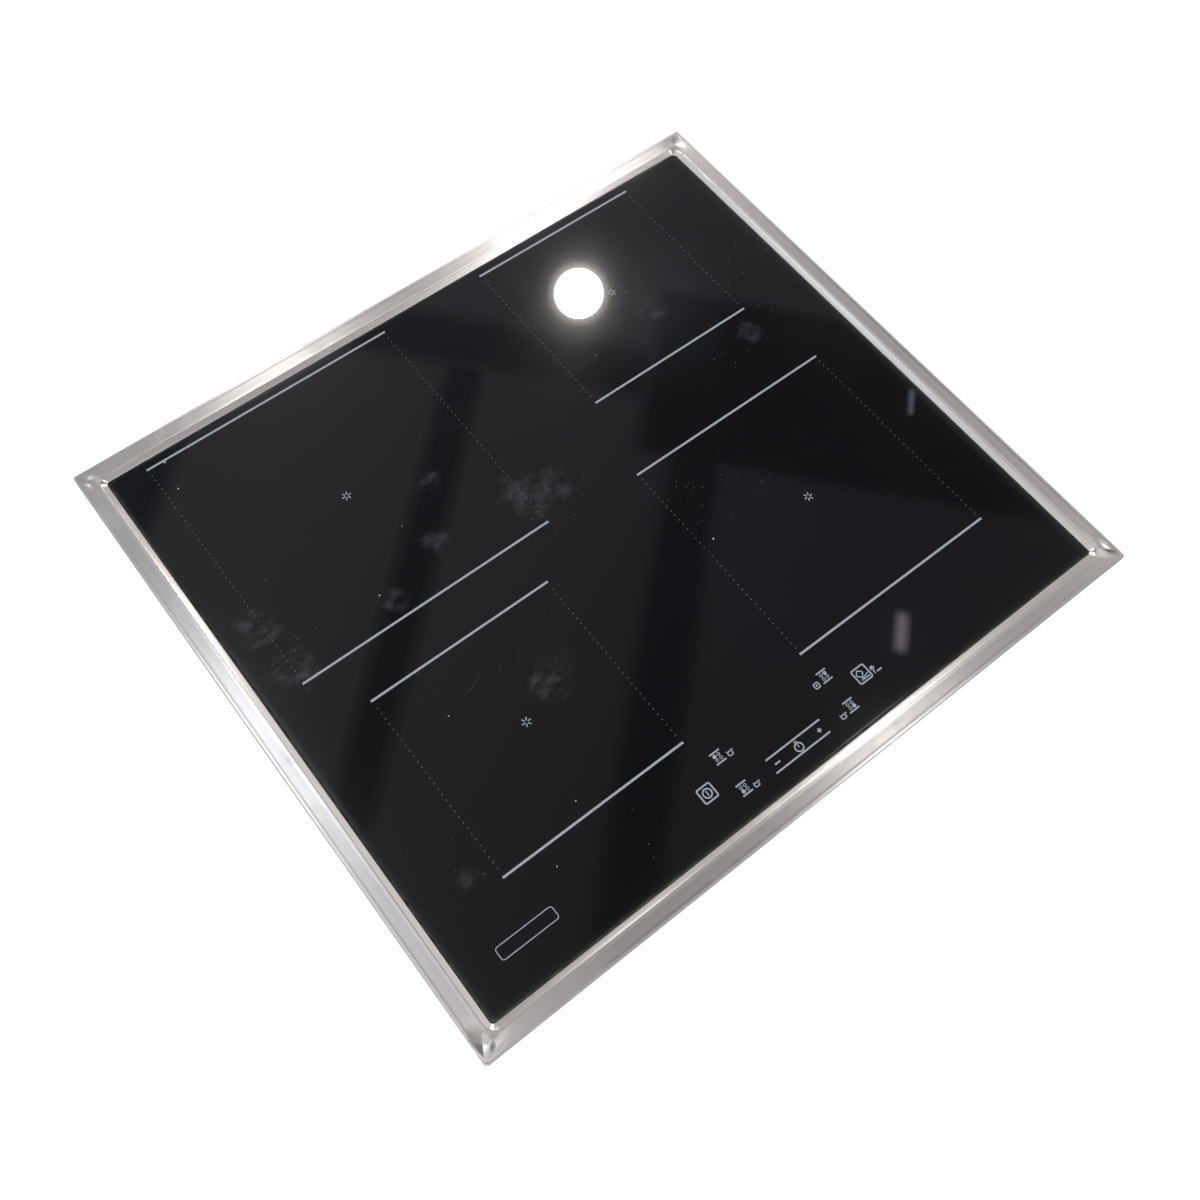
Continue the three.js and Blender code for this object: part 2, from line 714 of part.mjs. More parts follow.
function coilGroup(zone) {
  const radius = coilRadius(zone);
  const group = new THREE.Group();
  const [x, y] = zoneMiddle(zone);
  group.position.set(x, y, 0);
  group.add(
    piece(`winding_${zone.place}`, winding(radius), steel(0xb06a3c, 0.4)),
    piece(`mica_disc_${zone.place}`, micaDisc(radius), plastic(0xb9b09a, 0.6)),
    piece(`coil_carrier_${zone.place}`, coilCarrier(radius), plastic(0x2a2a2c, 0.6)),
    piece(`coil_spring_${zone.place}`, coilSpring(), steel(0x8a8d90, 0.35)),
    piece(`heat_sensor_${zone.place}`, sensor(), plastic(0xe6e2d6, 0.5)),
  );
  return group;
}

// One aluminium plate for the two coils of a side, standing on four folded legs.
function coilPlate(side) {
  const [x0, x1] = [COIL_PLATE_GAP / 2, bayX - COIL_PLATE_INSET];
  const [y0, y1] = [-(halfY - FLANGE - FRONT_BAR + 4), bayY - COIL_PLATE_INSET];
  const legs = [];
  for (const x of [x0, x1 - COIL_PLATE_THICK]) {
    for (const y of [y0 + PLATE_LEG_INSET, y1 - PLATE_LEG_INSET - PLATE_LEG_WIDTH]) {
      legs.push(block(x, x + COIL_PLATE_THICK, y, y + PLATE_LEG_WIDTH, floorTop + FIT, plateTop - FIT));
    }
  }
  const whole = joined([block(x0, x1, y0, y1, plateLow, plateTop), ...legs]);
  const bores = ZONES.filter((zone) => zone.side === side).map((zone) => {
    const [x, y] = zoneMiddle(zone);
    return post(PLATE_BORE, side * x, y, plateLow - OVERCUT, plateTop + OVERCUT);
  });
  const half = cut(whole, bores);
  return side > 0 ? half : half.scale(-1, 1, 1);
}

// ---- Electronics ----

function boardOnPosts(x0, x1, y0, y1) {
  const inset = 2 * BOARD_POST_RADIUS;
  const posts = [x0 + inset, x1 - inset].flatMap((x) => [y0 + inset, y1 - inset].map((y) => {
    return post(BOARD_POST_RADIUS, x, y, floorTop + FIT, boardLow + FIT, SMALL_SIDES);
  }));
  return [block(x0, x1, y0, y1, boardLow, boardTop), ...posts];
}

// A power board: the circuit board on its posts, with its bulk capacitors, coils and relays.
function powerBoard() {
  const [x0, x1] = [BOARD_GAP / 2, bayX - BOARD_INSET];
  const front = boardBack - BOARD_DEPTH;
  const low = boardTop - FIT;
  const parts = [];
  for (let i = 0; i < 4; i += 1) {
    const x = x0 + 30 + i * 34;
    parts.push(block(x - 12, x + 12, front + 20, front + 36, low, boardTop + 16));
    parts.push(post(9, x, front + 58, low, boardTop + 14));
  }
  return joined([...boardOnPosts(x0, x1, front, boardBack), ...parts]);
}

function heatSink() {
  const half = SINK_WIDTH / 2;
  const pitch = (SINK_WIDTH - SINK_FIN_THICK) / (SINK_FINS - 1);
  const points = [[-half, 0], [half, 0]];
  for (let i = SINK_FINS - 1; i >= 0; i -= 1) {
    const left = -half + i * pitch;
    const right = left + SINK_FIN_THICK;
    points.push([right, SINK_BASE], [right, SINK_HEIGHT]);
    points.push([left, SINK_HEIGHT], [left, SINK_BASE]);
  }
  const shape = new THREE.Shape(points.map(([x, z]) => new THREE.Vector2(x, z)));
  const comb = new THREE.ExtrudeGeometry(shape, { depth: SINK_DEPTH, bevelEnabled: false });
  const back = boardBack - SINK_BEHIND;
  return comb.rotateX(Math.PI / 2).translate(0, back, boardTop + FIT);
}

const fanLow = floorTop + FIT;
const fanTop = fanLow + FAN_HEIGHT;
const fanBore = FAN_SIZE / 2 - FAN_RIM;

// Square housing with a round bore and a four-armed spider at the top that carries the shaft.
function fanHousing() {
  const body = roundedPlate(FAN_SIZE, FAN_SIZE, 4, fanLow, fanTop);
  const tunnel = post(fanBore, 0, 0, fanLow - OVERCUT, fanTop + OVERCUT, LARGE_SIDES);
  const corner = FAN_SIZE / 2 - 4.5;
  const holes = [-1, 1].flatMap((sx) => [-1, 1].map((sy) => {
    return post(2.2, sx * corner, sy * corner, fanLow - OVERCUT, fanTop + OVERCUT, SMALL_SIDES);
  }));
  const hub = post(FAN_HUB, 0, 0, fanTop - FAN_PLATE, fanTop);
  const shaft = post(FAN_SHAFT, 0, 0, fanLow + 2 * FAN_CLEAR, fanTop - FIT, SMALL_SIDES);
  const arms = [45, 135].map((angle) => {
    const reach = fanBore + 1;
    const arm = block(-reach, reach, -2, 2, fanTop - FAN_PLATE, fanTop);
    return arm.rotateZ(THREE.MathUtils.degToRad(angle));
  });
  return joined([cut(body, [tunnel, ...holes]), hub, shaft, ...arms]);
}

function fanRotor() {
  const low = fanLow + FAN_CLEAR;
  const top = fanTop - FAN_PLATE - FAN_CLEAR;
  const middle = (low + top) / 2;
  const hub = post(FAN_HUB, 0, 0, low, top);
  const bore = post(FAN_SHAFT + FIT, 0, 0, low + FAN_CLEAR / 2, top + OVERCUT, SMALL_SIDES);
  const tip = fanBore - FAN_CLEAR;
  const chord = (top - low - FAN_BLADE_THICK) / Math.sin(THREE.MathUtils.degToRad(FAN_BLADE_PITCH));
  const blades = [];
  for (let i = 0; i < FAN_BLADES; i += 1) {
    const blade = new THREE.BoxGeometry(tip - FAN_HUB + 2, chord * 0.9, FAN_BLADE_THICK);
    blade.rotateX(THREE.MathUtils.degToRad(FAN_BLADE_PITCH));
    blade.translate((tip + FAN_HUB - 2) / 2, 0, middle);
    blades.push(blade.rotateZ((i / FAN_BLADES) * Math.PI * 2));
  }
  const trimmed = solidOf(joined([hub, ...blades])).intersect(solidOf(post(tip, 0, 0, low, top, LARGE_SIDES)));
  return cut(geometryOf(trimmed), [bore]);
}

// The board, heat sink and fan of one side.
function powerSide(side) {
  const word = side < 0 ? 'left' : 'right';
  const board = side > 0 ? powerBoard() : powerBoard().scale(-1, 1, 1);
  const group = new THREE.Group();
  const sink = piece(`heat_sink_${word}`, heatSink(), steel(0xc4c6c8, 0.4));
  sink.position.x = side * bayMiddle;
  const fan = new THREE.Group();
  fan.position.set(side * bayMiddle, fanY, 0);
  fan.add(
    piece(`fan_housing_${word}`, fanHousing(), plastic(0x1b1b1c, 0.55)),
    piece(`fan_rotor_${word}`, fanRotor(), plastic(0x232325, 0.5)),
  );
  group.add(piece(`power_board_${word}`, board, plastic(0x1f5a38, 0.5)), sink, fan);
  group.add(piece(`coil_plate_${word}`, coilPlate(side), steel(0xc9cbcc, 0.35)));
  return group;
}

// ---- Touch controls ----

const controlY0 = -(halfY - FLANGE - SEAT_WIDTH - CONTROL_SETBACK);
const controlY1 = controlY0 + CONTROL_DEPTH;
const controlTop = glassLow - FIT;
const touchLow = controlTop - TOUCH_PAD_HEIGHT;

// Middles of the touch pads: each side's key, the two zone keys, and the slider's three.
function touchPads() {
  const y = (controlY0 + controlY1) / 2;
  const row = CONTROL_DEPTH / 4;
  const places = [[-71.6, y], [70.2, y]];
  for (const x of [-49.6, 48.2]) places.push([x, y - row], [x, y + row]);
  for (const x of [-19.9, -0.7, 18.4]) places.push([x, y - row]);
  return places;
}

function controlBoard() {
  const half = CONTROL_WIDTH / 2 - CONTROL_WALL - FIT;
  const [y0, y1] = [controlY0 + CONTROL_WALL + FIT, controlY1 - CONTROL_WALL - FIT];
  const pads = touchPads().map(([x, y]) => post(TOUCH_PAD_RADIUS, x, y, touchLow - FIT, controlTop, SMALL_SIDES));
  const board = joined([block(-half, half, y0, y1, touchLow - BOARD_THICK, touchLow), ...pads]);
  return piece('control_board', board, plastic(0x1c4a33, 0.5));
}

function controlHolder() {
  const half = CONTROL_WIDTH / 2;
  const floor = touchLow - BOARD_THICK - FIT;
  const low = floor - CONTROL_WALL;
  const body = cut(
    block(-half, half, controlY0, controlY1, low, controlTop - CONTROL_WALL),
    [block(CONTROL_WALL - half, half - CONTROL_WALL, controlY0 + CONTROL_WALL, controlY1 - CONTROL_WALL, floor, HEIGHT)],
  );
  const legs = [-half, half - CONTROL_LEG].flatMap((x) => [controlY0, controlY1 - CONTROL_LEG].map((y) => {
    return block(x, x + CONTROL_LEG, y, y + CONTROL_LEG, floorTop + FIT, low + FIT);
  }));
  return piece('control_holder', joined([body, ...legs]), plastic(0xd8d6cf, 0.55));
}

// ---- Mains filter ----

const filterX0 = boxX + TERMINAL_WIDTH / 2 + TERMINAL_RIM + 4;
const filterX1 = -BOARD_GAP / 2 - 4;
const filterY1 = bayY - 8;
const filterY0 = filterY1 - FILTER_DEPTH;

function filterGroup() {
  const group = new THREE.Group();
  const board = joined(boardOnPosts(filterX0, filterX1, filterY0, filterY1));
  group.add(piece('filter_board', board, plastic(0x1f5a38, 0.5)));
  const choke = new THREE.Group();
  choke.position.set(filterX0 + CHOKE_RADIUS + CHOKE_WIRE + 8, (filterY0 + filterY1) / 2, boardTop + FIT);
  const ring = [];
  for (let i = 0; i < SMALL_SIDES; i += 1) {
    const angle = (i / SMALL_SIDES) * Math.PI * 2;
    ring.push([CHOKE_RADIUS + CHOKE_WIRE * Math.cos(angle), CHOKE_WIRE * (1 + Math.sin(angle))]);
  }
  choke.add(piece('mains_choke', turned(ring, 2 * SMALL_SIDES), steel(0xa8642f, 0.45)));
  group.add(choke);
  for (const [name, y] of [['front', filterY0 + 16], ['rear', filterY1 - 16]]) {
    const shape = block(-CAPACITOR_WIDTH / 2, CAPACITOR_WIDTH / 2, -CAPACITOR_DEPTH / 2, CAPACITOR_DEPTH / 2,
      0, CAPACITOR_HEIGHT);
    const box = piece(`filter_capacitor_${name}`, shape, plastic(0xc8a23a, 0.45));
    box.position.set(filterX1 - CAPACITOR_WIDTH / 2 - 10, y, boardTop + FIT);
    group.add(box);
  }
  return group;
}

// ---- Mains terminal, seen from its own middle line at X = 0 ----

function terminalBox() {
  const half = TERMINAL_WIDTH / 2;
  const inHalf = half - TERMINAL_WALL;
  const ceiling = TERMINAL_TOP - TERMINAL_WALL;
  const rimLow = floorTop + FIT;
  const shell = joined([
    block(-half, half, boxFront, boxBack, TERMINAL_LOW, TERMINAL_TOP),
    block(-half - TERMINAL_RIM, half + TERMINAL_RIM, boxFront - TERMINAL_RIM, boxBack + TERMINAL_RIM,
      rimLow, rimLow + TERMINAL_WALL),
  ]);
  const room = block(-inHalf, inHalf, boxFront + TERMINAL_WALL, boxBack - TERMINAL_WALL,
    TERMINAL_LOW - OVERCUT, ceiling);
  const bosses = [-1, 1].map((side) => {
    const low = CORD_HEIGHT + CLAMP_THICK / 2;
    return post(SCREW_RADIUS + 2, side * CLAMP_REACH, clampY, low, ceiling + FIT);
  });
  const bossHoles = [-1, 1].map((side) => {
    return post(SCREW_RADIUS + FIT, side * CLAMP_REACH, clampY, CORD_HEIGHT, ceiling - OVERCUT, SMALL_SIDES);
  });
  const pinHoles = rodX(HINGE_PIN + FIT, -half - OVERCUT, half + OVERCUT, hingeY, hingeZ, SMALL_SIDES);
  const cordHole = rodY(CORD_BORE + BUSH_WALL + FIT, 0, boxBack - 2 * TERMINAL_WALL,
    boxBack + OVERCUT, CORD_HEIGHT);
  return cut(joined([cut(shell, [room]), ...bosses]), [...bossHoles, pinHoles, cordHole]);
}

// A row of screw clamps hanging from the box's ceiling, with a rib between each pair.
function terminalBlock() {
  const top = TERMINAL_TOP - TERMINAL_WALL - FIT;
  const low = top - BLOCK_HEIGHT;
  const y0 = boxFront + TERMINAL_WALL + BLOCK_SETBACK;
  const pitch = BLOCK_WIDTH / BLOCK_WAYS;
  const body = block(-BLOCK_WIDTH / 2, BLOCK_WIDTH / 2, y0, y0 + BLOCK_DEPTH, low + 3, top);
  const ribs = [];
  const screws = [];
  for (let i = 0; i <= BLOCK_WAYS; i += 1) {
    const x = -BLOCK_WIDTH / 2 + i * pitch;
    ribs.push(block(x - 0.8, x + 0.8, y0, y0 + BLOCK_DEPTH, low, low + 4));
    if (i < BLOCK_WAYS) {
      screws.push(post(3, x + pitch / 2, y0 + 6, low + 1, low + 4, SMALL_SIDES));
      screws.push(post(3, x + pitch / 2, y0 + BLOCK_DEPTH - 6, low + 1, low + 4, SMALL_SIDES));
    }
  }
  return joined([body, ...ribs, ...screws]);
}

// The lid: a plate whose front edge is a barrel with a pin at each end, and two friction tongues.
function terminalCover() {
  const inHalf = TERMINAL_WIDTH / 2 - TERMINAL_WALL;
  const half = inHalf - COVER_FIT;
  const backEdge = boxBack - TERMINAL_WALL - COVER_FIT;
  const top = TERMINAL_LOW + COVER_THICK;
  const pin = inHalf + TERMINAL_WALL - FIT;
  const tongues = [-1, 1].map((side) => {
    const x = side * (half - 14);
    return block(x - 5, x + 5, backEdge - 2.2, backEdge - 0.6, top - FIT, top + 5);
  });
  const fingerDish = post(9, 0, backEdge - 12, TERMINAL_LOW - OVERCUT, TERMINAL_LOW + COVER_THICK / 2, 2 * SMALL_SIDES);
  const whole = joined([
    block(-half, half, hingeY, backEdge, TERMINAL_LOW, top),
    rodX(HINGE_RADIUS, -half, half, hingeY, hingeZ),
    rodX(HINGE_PIN, -pin, pin, hingeY, hingeZ, SMALL_SIDES),
    ...tongues,
  ]);
  return cut(whole, [fingerDish]);
}

// A saddle that presses the cord up, with a round channel across it.
function cableClamp() {
  const top = CORD_HEIGHT - CORD_BORE + CLAMP_THICK / 2;
  const bar = block(-CLAMP_WIDTH / 2, CLAMP_WIDTH / 2, clampY - CLAMP_DEPTH / 2, clampY + CLAMP_DEPTH / 2,
    top - CLAMP_THICK, top);
  const channel = rodY(CORD_BORE, 0, clampY - CLAMP_DEPTH, clampY + CLAMP_DEPTH, CORD_HEIGHT);
  const holes = [-1, 1].map((side) => {
    return post(SCREW_RADIUS + FIT, side * CLAMP_REACH, clampY, top - CLAMP_THICK - OVERCUT, top + OVERCUT, SMALL_SIDES);
  });
  return cut(bar, [channel, ...holes]);
}

function clampScrew() {
  const seat = CORD_HEIGHT - CORD_BORE - CLAMP_THICK / 2 - FIT;
  const shank = post(SCREW_RADIUS, 0, 0, seat - FIT, CORD_HEIGHT + CLAMP_THICK, SMALL_SIDES);
  return joined([shank, post(SCREW_HEAD_RADIUS, 0, 0, seat - SCREW_HEAD, seat)]);
}

// A soft bush lining the holes in the box and the tray, with a flange outside the tray.
function cableBush() {
  const [inner, outer] = [CORD_BORE, CORD_BORE + BUSH_WALL];
  const start = boxBack - TERMINAL_WALL - FIT;
  const seat = trayY + FIT;
  const profile = [
    [inner, start],
    [outer, start],
    [outer, seat],
    [BUSH_FLANGE, seat],
    [BUSH_FLANGE, seat + BUSH_WALL / 2],
    [outer, seat + BUSH_WALL],
    [inner, seat + BUSH_WALL],
  ];
  return turned(profile, 2 * SMALL_SIDES).rotateX(-Math.PI / 2).translate(0, 0, CORD_HEIGHT);
}

function terminalGroup() {
  const group = new THREE.Group();
  group.position.x = boxX;
  group.add(
    piece('terminal_box', terminalBox(), plastic(0x2e2f31, 0.55)),
    piece('terminal_block', terminalBlock(), plastic(0xe4e1d8, 0.5)),
    piece('terminal_cover', terminalCover(), plastic(0x2e2f31, 0.55)),
    piece('cable_clamp', cableClamp(), plastic(0x3a3b3d, 0.55)),
    piece('cable_bush', cableBush(), plastic(0x161617, 0.8)),
  );
  for (const [word, side] of [['left', -1], ['right', 1]]) {
    const screw = piece(`clamp_screw_${word}`, clampScrew(), steel(0x8e9194, 0.35));
    screw.position.set(side * CLAMP_REACH, clampY, 0);
    group.add(screw);
  }
  return group;
}

// ---- The whole hob ----

const hob = new THREE.Group();
hob.add(trimFrame(), glassPlate(), glassSeal(), frameGasket(), bottomTray());
hob.add(fasteners());
for (const zone of ZONES) hob.add(coilGroup(zone));
for (const side of [-1, 1]) hob.add(powerSide(side));
hob.add(controlBoard(), controlHolder(), filterGroup(), terminalGroup());

export default hob;
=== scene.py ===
"""A built-in electric induction hob: brushed stainless frame, black glass with printed zones and
touch keys, and the galvanised tray with its fans, coils and terminal box below. Metres, +Z up."""

import math

import bmesh
import bpy
from mathutils import Matrix, Vector


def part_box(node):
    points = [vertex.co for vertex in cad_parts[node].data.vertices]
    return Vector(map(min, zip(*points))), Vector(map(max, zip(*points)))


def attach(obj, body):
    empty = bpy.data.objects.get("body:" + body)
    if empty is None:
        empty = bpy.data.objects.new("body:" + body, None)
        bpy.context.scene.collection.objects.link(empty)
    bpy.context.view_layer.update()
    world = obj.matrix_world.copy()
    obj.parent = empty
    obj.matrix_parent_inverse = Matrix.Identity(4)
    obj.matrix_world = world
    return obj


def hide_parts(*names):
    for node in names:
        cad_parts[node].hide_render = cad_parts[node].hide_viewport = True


MM = 0.001

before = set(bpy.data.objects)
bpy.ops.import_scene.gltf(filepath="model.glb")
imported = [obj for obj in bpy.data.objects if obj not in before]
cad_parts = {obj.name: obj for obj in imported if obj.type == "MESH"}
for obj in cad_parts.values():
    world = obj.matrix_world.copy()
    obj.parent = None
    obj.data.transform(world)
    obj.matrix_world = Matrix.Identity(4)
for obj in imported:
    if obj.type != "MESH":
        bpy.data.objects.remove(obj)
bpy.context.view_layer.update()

# ---- Sizes taken from the frame, and the ones that only the looks need ----
FRAME_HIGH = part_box("trim_frame")[1]
GLASS_LOW, GLASS_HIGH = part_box("glass_plate")
SEAL_LOW, SEAL_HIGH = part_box("glass_seal")
TRAY_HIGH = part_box("bottom_tray")[1]
HALF_X = FRAME_HIGH.x
HALF_Y = FRAME_HIGH.y
TOP = FRAME_HIGH.z
GLASS_TOP = GLASS_HIGH.z
SHEET = 1 * MM
SKIRT = 5 * MM  # height of the frame's outer edge
FLANGE = 18 * MM  # outer edge of the frame to the glass
LIP_START = 12.4 * MM
SEAT_WALL = 17.6 * MM  # outer edge of the frame to the wall beside the glass
TRAY_INSET = 14 * MM  # outer edge of the frame to the tray's wall
LUG_WIDTH = 22 * MM
LUG_DROP = 17 * MM  # top of the frame to the lower ends of the lugs that hold the tray
CORNER_STEPS = 8
MERGE = 0.001 * MM  # corners nearer than this are one
INK = 0.03 * MM
INK_LEVEL = GLASS_TOP + 0.01 * MM


# ---- Working with the mesh tools ----

def only(piece):
    """Selects one piece and nothing else."""
    bpy.ops.object.select_all(action="DESELECT")
    piece.select_set(True)
    bpy.context.view_layer.objects.active = piece


def add_object(name, data):
    """Puts a new object into the scene."""
    made = bpy.data.objects.new(name, data)
    bpy.context.scene.collection.objects.link(made)
    return made


def new_piece(name):
    """An empty piece at the origin, open for editing."""
    bpy.ops.object.select_all(action="DESELECT")
    bpy.ops.object.add(type="MESH")
    piece = bpy.context.object
    piece.name = name
    piece.data.name = name
    bpy.ops.object.mode_set(mode="EDIT")
    return piece


def close_piece(piece, angle=35):
    """Merges doubles, turns the faces outwards and leaves edit mode."""
    bpy.ops.mesh.select_all(action="SELECT")
    bpy.ops.mesh.remove_doubles(threshold=MERGE)
    bpy.ops.mesh.normals_make_consistent(inside=False)
    bpy.ops.object.mode_set(mode="OBJECT")
    if "line" in piece.data.attributes:
        piece.data.attributes.remove(piece.data.attributes["line"])
    only(piece)
    bpy.ops.object.shade_smooth_by_angle(angle=math.radians(angle))
    return piece


def mount(piece, material, *nodes, body="hob"):
    """Gives a finished piece its material and the body it rides on, and hides the CAD nodes it stands for.
    """
    piece.data.materials.clear()
    piece.data.materials.append(material)
    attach(piece, body)
    if nodes:
        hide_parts(*nodes)
    return piece


def new_line(piece):
    """Numbers the corners drawn since the last line, so that they can be found again."""
    mesh = bmesh.from_edit_mesh(piece.data)
    layer = mesh.verts.layers.int.get("line") or mesh.verts.layers.int.new("line")
    number = 1 + max((corner[layer] for corner in mesh.verts), default=0)
    for corner in mesh.verts:
        if corner[layer] == 0:
            corner[layer] = number
    bmesh.update_edit_mesh(piece.data)
    return number


def pick_lines(piece, *numbers):
    """Selects the edges of the numbered lines."""
    bpy.ops.mesh.select_mode(type="EDGE")
    bpy.ops.mesh.select_all(action="DESELECT")
    mesh = bmesh.from_edit_mesh(piece.data)
    layer = mesh.verts.layers.int["line"]
    for edge in mesh.edges:
        first, last = (corner[layer] for corner in edge.verts)
        edge.select_set(first == last and first in numbers)
    bmesh.update_edit_mesh(piece.data)


def pick(piece, kind, keep):
    """Selects the edges whose middle and way pass the test, or the corners whose place does."""
    bpy.ops.mesh.select_mode(type=kind)
    bpy.ops.mesh.select_all(action="DESELECT")
    mesh = bmesh.from_edit_mesh(piece.data)
    if kind == "EDGE":
        for edge in mesh.edges:
            middle = (edge.verts[0].co + edge.verts[1].co) / 2
            edge.select_set(keep(middle, edge.verts[1].co - edge.verts[0].co))
    else:
        for corner in mesh.verts:
            corner.select_set(keep(corner.co))
    mesh.select_flush_mode()
    bmesh.update_edit_mesh(piece.data)


def oblong(x, y, z, half_x, half_y, turn=0):
    """A flat oblong face, turned about its own middle."""
    bpy.ops.mesh.primitive_plane_add(size=2, location=(x, y, z))
    bpy.ops.transform.resize(value=(half_x, half_y, 1), center_override=(x, y, z))
    if turn:
        bpy.ops.transform.rotate(value=-turn, orient_axis="Z", center_override=(x, y, z))


def outline(piece, half_x, half_y, z, corner, middle=(0, 0), steps=CORNER_STEPS, turn=0):
    """Draws a rounded rectangle of edges lying flat, and returns the line's number."""
    new_line(piece)
    oblong(*middle, z, half_x, half_y, turn)
    bpy.ops.mesh.bevel(offset=corner, offset_pct=0, segments=steps, affect="VERTICES")
    bpy.ops.mesh.delete(type="ONLY_FACE")
    return new_line(piece)


def circle(piece, radius, z, middle, sides):
    """Draws a round line of edges lying flat, and returns the line's number."""
    new_line(piece)
    bpy.ops.mesh.primitive_circle_add(vertices=sides, radius=radius, location=(*middle, z))
    return new_line(piece)


def bridge(piece, one, other):
    """Fills the band between two closed lines of edges."""
    pick_lines(piece, one, other)
    bpy.ops.mesh.bridge_edge_loops()


def loft(piece, section, closed=True):
    """Carries a section of (half x, half y, height, corner radius) round a rounded rectangle.

    The lines are drawn far apart, one above the other, so that each is joined to the right one, and
    are then brought to their own heights."""
    apart = 20 * MM
    lines = [outline(piece, half_x, half_y, apart * step, corner)
             for step, (half_x, half_y, _, corner) in enumerate(section)]
    joined = list(zip(lines, lines[1:]))
    if closed:
        joined.append((lines[-1], lines[0]))
    for one, other in joined:
        bridge(piece, one, other)
    for step, line in enumerate(lines):
        pick_lines(piece, line)
        bpy.ops.transform.translate(value=(0, 0, section[step][2] - apart * step))
    return lines


def fill(piece, line):
    """Closes one line of edges with a flat face."""
    pick_lines(piece, line)
    bpy.ops.mesh.edge_face_add()


def apply(piece, kind, **settings):
    """Adds one modifier and applies it."""
    only(piece)
    modifier = piece.modifiers.new(kind.title(), kind)
    for key, value in settings.items():
        setattr(modifier, key, value)
    bpy.ops.object.modifier_apply(modifier=modifier.name)


# ---- Building materials ----

class Work:
    """The node tree that is open: the helpers below add their nodes to it."""
    tree = None


def node(kind, inputs=None, **settings):
    """One node, with its settings, and its inputs given as values or as links."""
    made = Work.tree.nodes.new(kind)
    for key, value in settings.items():
        setattr(made, key, value)
    for key, value in (inputs or {}).items():
        if isinstance(value, bpy.types.NodeSocket):
            Work.tree.links.new(value, made.inputs[key])
        else:
            made.inputs[key].default_value = value
    return made


def maths(operation, a, b=0.0):
    return node("ShaderNodeMath", {0: a, 1: b}, operation=operation).outputs[0]


def times(a, b):
    return maths("MULTIPLY", a, b)


def plus(a, b):
    return maths("ADD", a, b)


def minus(a, b):
    return maths("SUBTRACT", a, b)


def between(factor, a, b):
    """A number between a and b."""
    return node("ShaderNodeMix", {0: factor, 2: a, 3: b}).outputs[0]


def blend(factor, a, b):
    """A colour between a and b."""
    a, b = (tone if isinstance(tone, bpy.types.NodeSocket) else (*tone, 1) for tone in (a, b))
    made = node("ShaderNodeMix", {0: factor, 6: a, 7: b}, data_type="RGBA")
    return made.outputs[2]


def stain(tone, mask, share, colour):
    """Lays a colour over the tone where the mask is, by the share given at most."""
    return blend(times(mask, share), tone, colour)


def remap(value, low, high, to_low, to_high):
    given = {0: value, 1: low, 2: high, 3: to_low, 4: to_high}
    return node("ShaderNodeMapRange", given).outputs[0]


def noise(vector, scale, detail=2.0, roughness=0.5):
    made = node("ShaderNodeTexNoise",
                {"Vector": vector, "Scale": scale, "Detail": detail, "Roughness": roughness})
    return made.outputs["Fac"]


def cells(vector, scale, **settings):
    """Cells strewn at random: the way to each one's middle, and three chance numbers for each."""
    made = node("ShaderNodeTexVoronoi", {"Vector": vector, "Scale": scale}, **settings)
    luck = node("ShaderNodeSeparateColor", {0: made.outputs["Color"]}).outputs
    return made.outputs["Distance"], luck


def stretched(vector, scale, turn=(0, 0, 0), place=(0, 0, 0)):
    made = node("ShaderNodeMapping",
                {"Vector": vector, "Scale": scale, "Rotation": turn, "Location": place})
    return made.outputs["Vector"]


def new_group(name, output, **numbers):
    """An effect that several materials use: a vector and named numbers in, one mask out."""
    group = bpy.data.node_groups.new(name, "ShaderNodeTree")
    Work.tree = group
    group.interface.new_socket("Vector", in_out="INPUT", socket_type="NodeSocketVector")
    for title, value in numbers.items():
        socket = group.interface.new_socket(title, in_out="INPUT", socket_type="NodeSocketFloat")
        socket.default_value = value
    group.interface.new_socket(output, in_out="OUTPUT", socket_type="NodeSocketFloat")
    return group, group.nodes.new("NodeGroupInput").outputs, group.nodes.new("NodeGroupOutput")


def effect(group, **inputs):
    """One use of an effect, with its own values."""
    made = Work.tree.nodes.new("ShaderNodeGroup")
    made.node_tree = group
    for key, value in inputs.items():
        socket = made.inputs[key.replace("_", " ").capitalize()]
        if isinstance(value, bpy.types.NodeSocket):
            Work.tree.links.new(value, socket)
        else:
            socket.default_value = value
    return made.outputs[0]


def make_grain():
    """Fine lines along X, as left by brushing or rolling."""
    tree, given, out = new_group("Fine lines", "Lines", Length=12.0, Fineness=900.0)
    size = {0: given["Length"], 1: given["Fineness"], 2: given["Fineness"]}
    scale = node("ShaderNodeCombineXYZ", size).outputs[0]
    placed = node("ShaderNodeVectorMath", {0: given["Vector"], 1: scale},
                  operation="MULTIPLY").outputs[0]
    coarse = noise(placed, 1.0, 3.0, 0.6)
    fine = noise(placed, 2.7, 1.0, 0.5)
    mixed = plus(times(coarse, 0.65), times(fine, 0.35))
    tree.links.new(mixed, out.inputs["Lines"])
    return tree


def make_specks():
    """Small round specks strewn at random, of uneven size."""
    group, given, out = new_group("Specks", "Mask", Density=60.0, Size=0.06, Share=0.5)
    away, luck = cells(given["Vector"], given["Density"])
    reach = times(given["Size"], plus(luck[0], 0.25))
    edge = times(reach, 0.45)
    near = remap(away, edge, reach, 1, 0)
    kept = maths("LESS_THAN", luck[1], given["Share"])
    group.links.new(times(near, kept), out.inputs["Mask"])
    return group


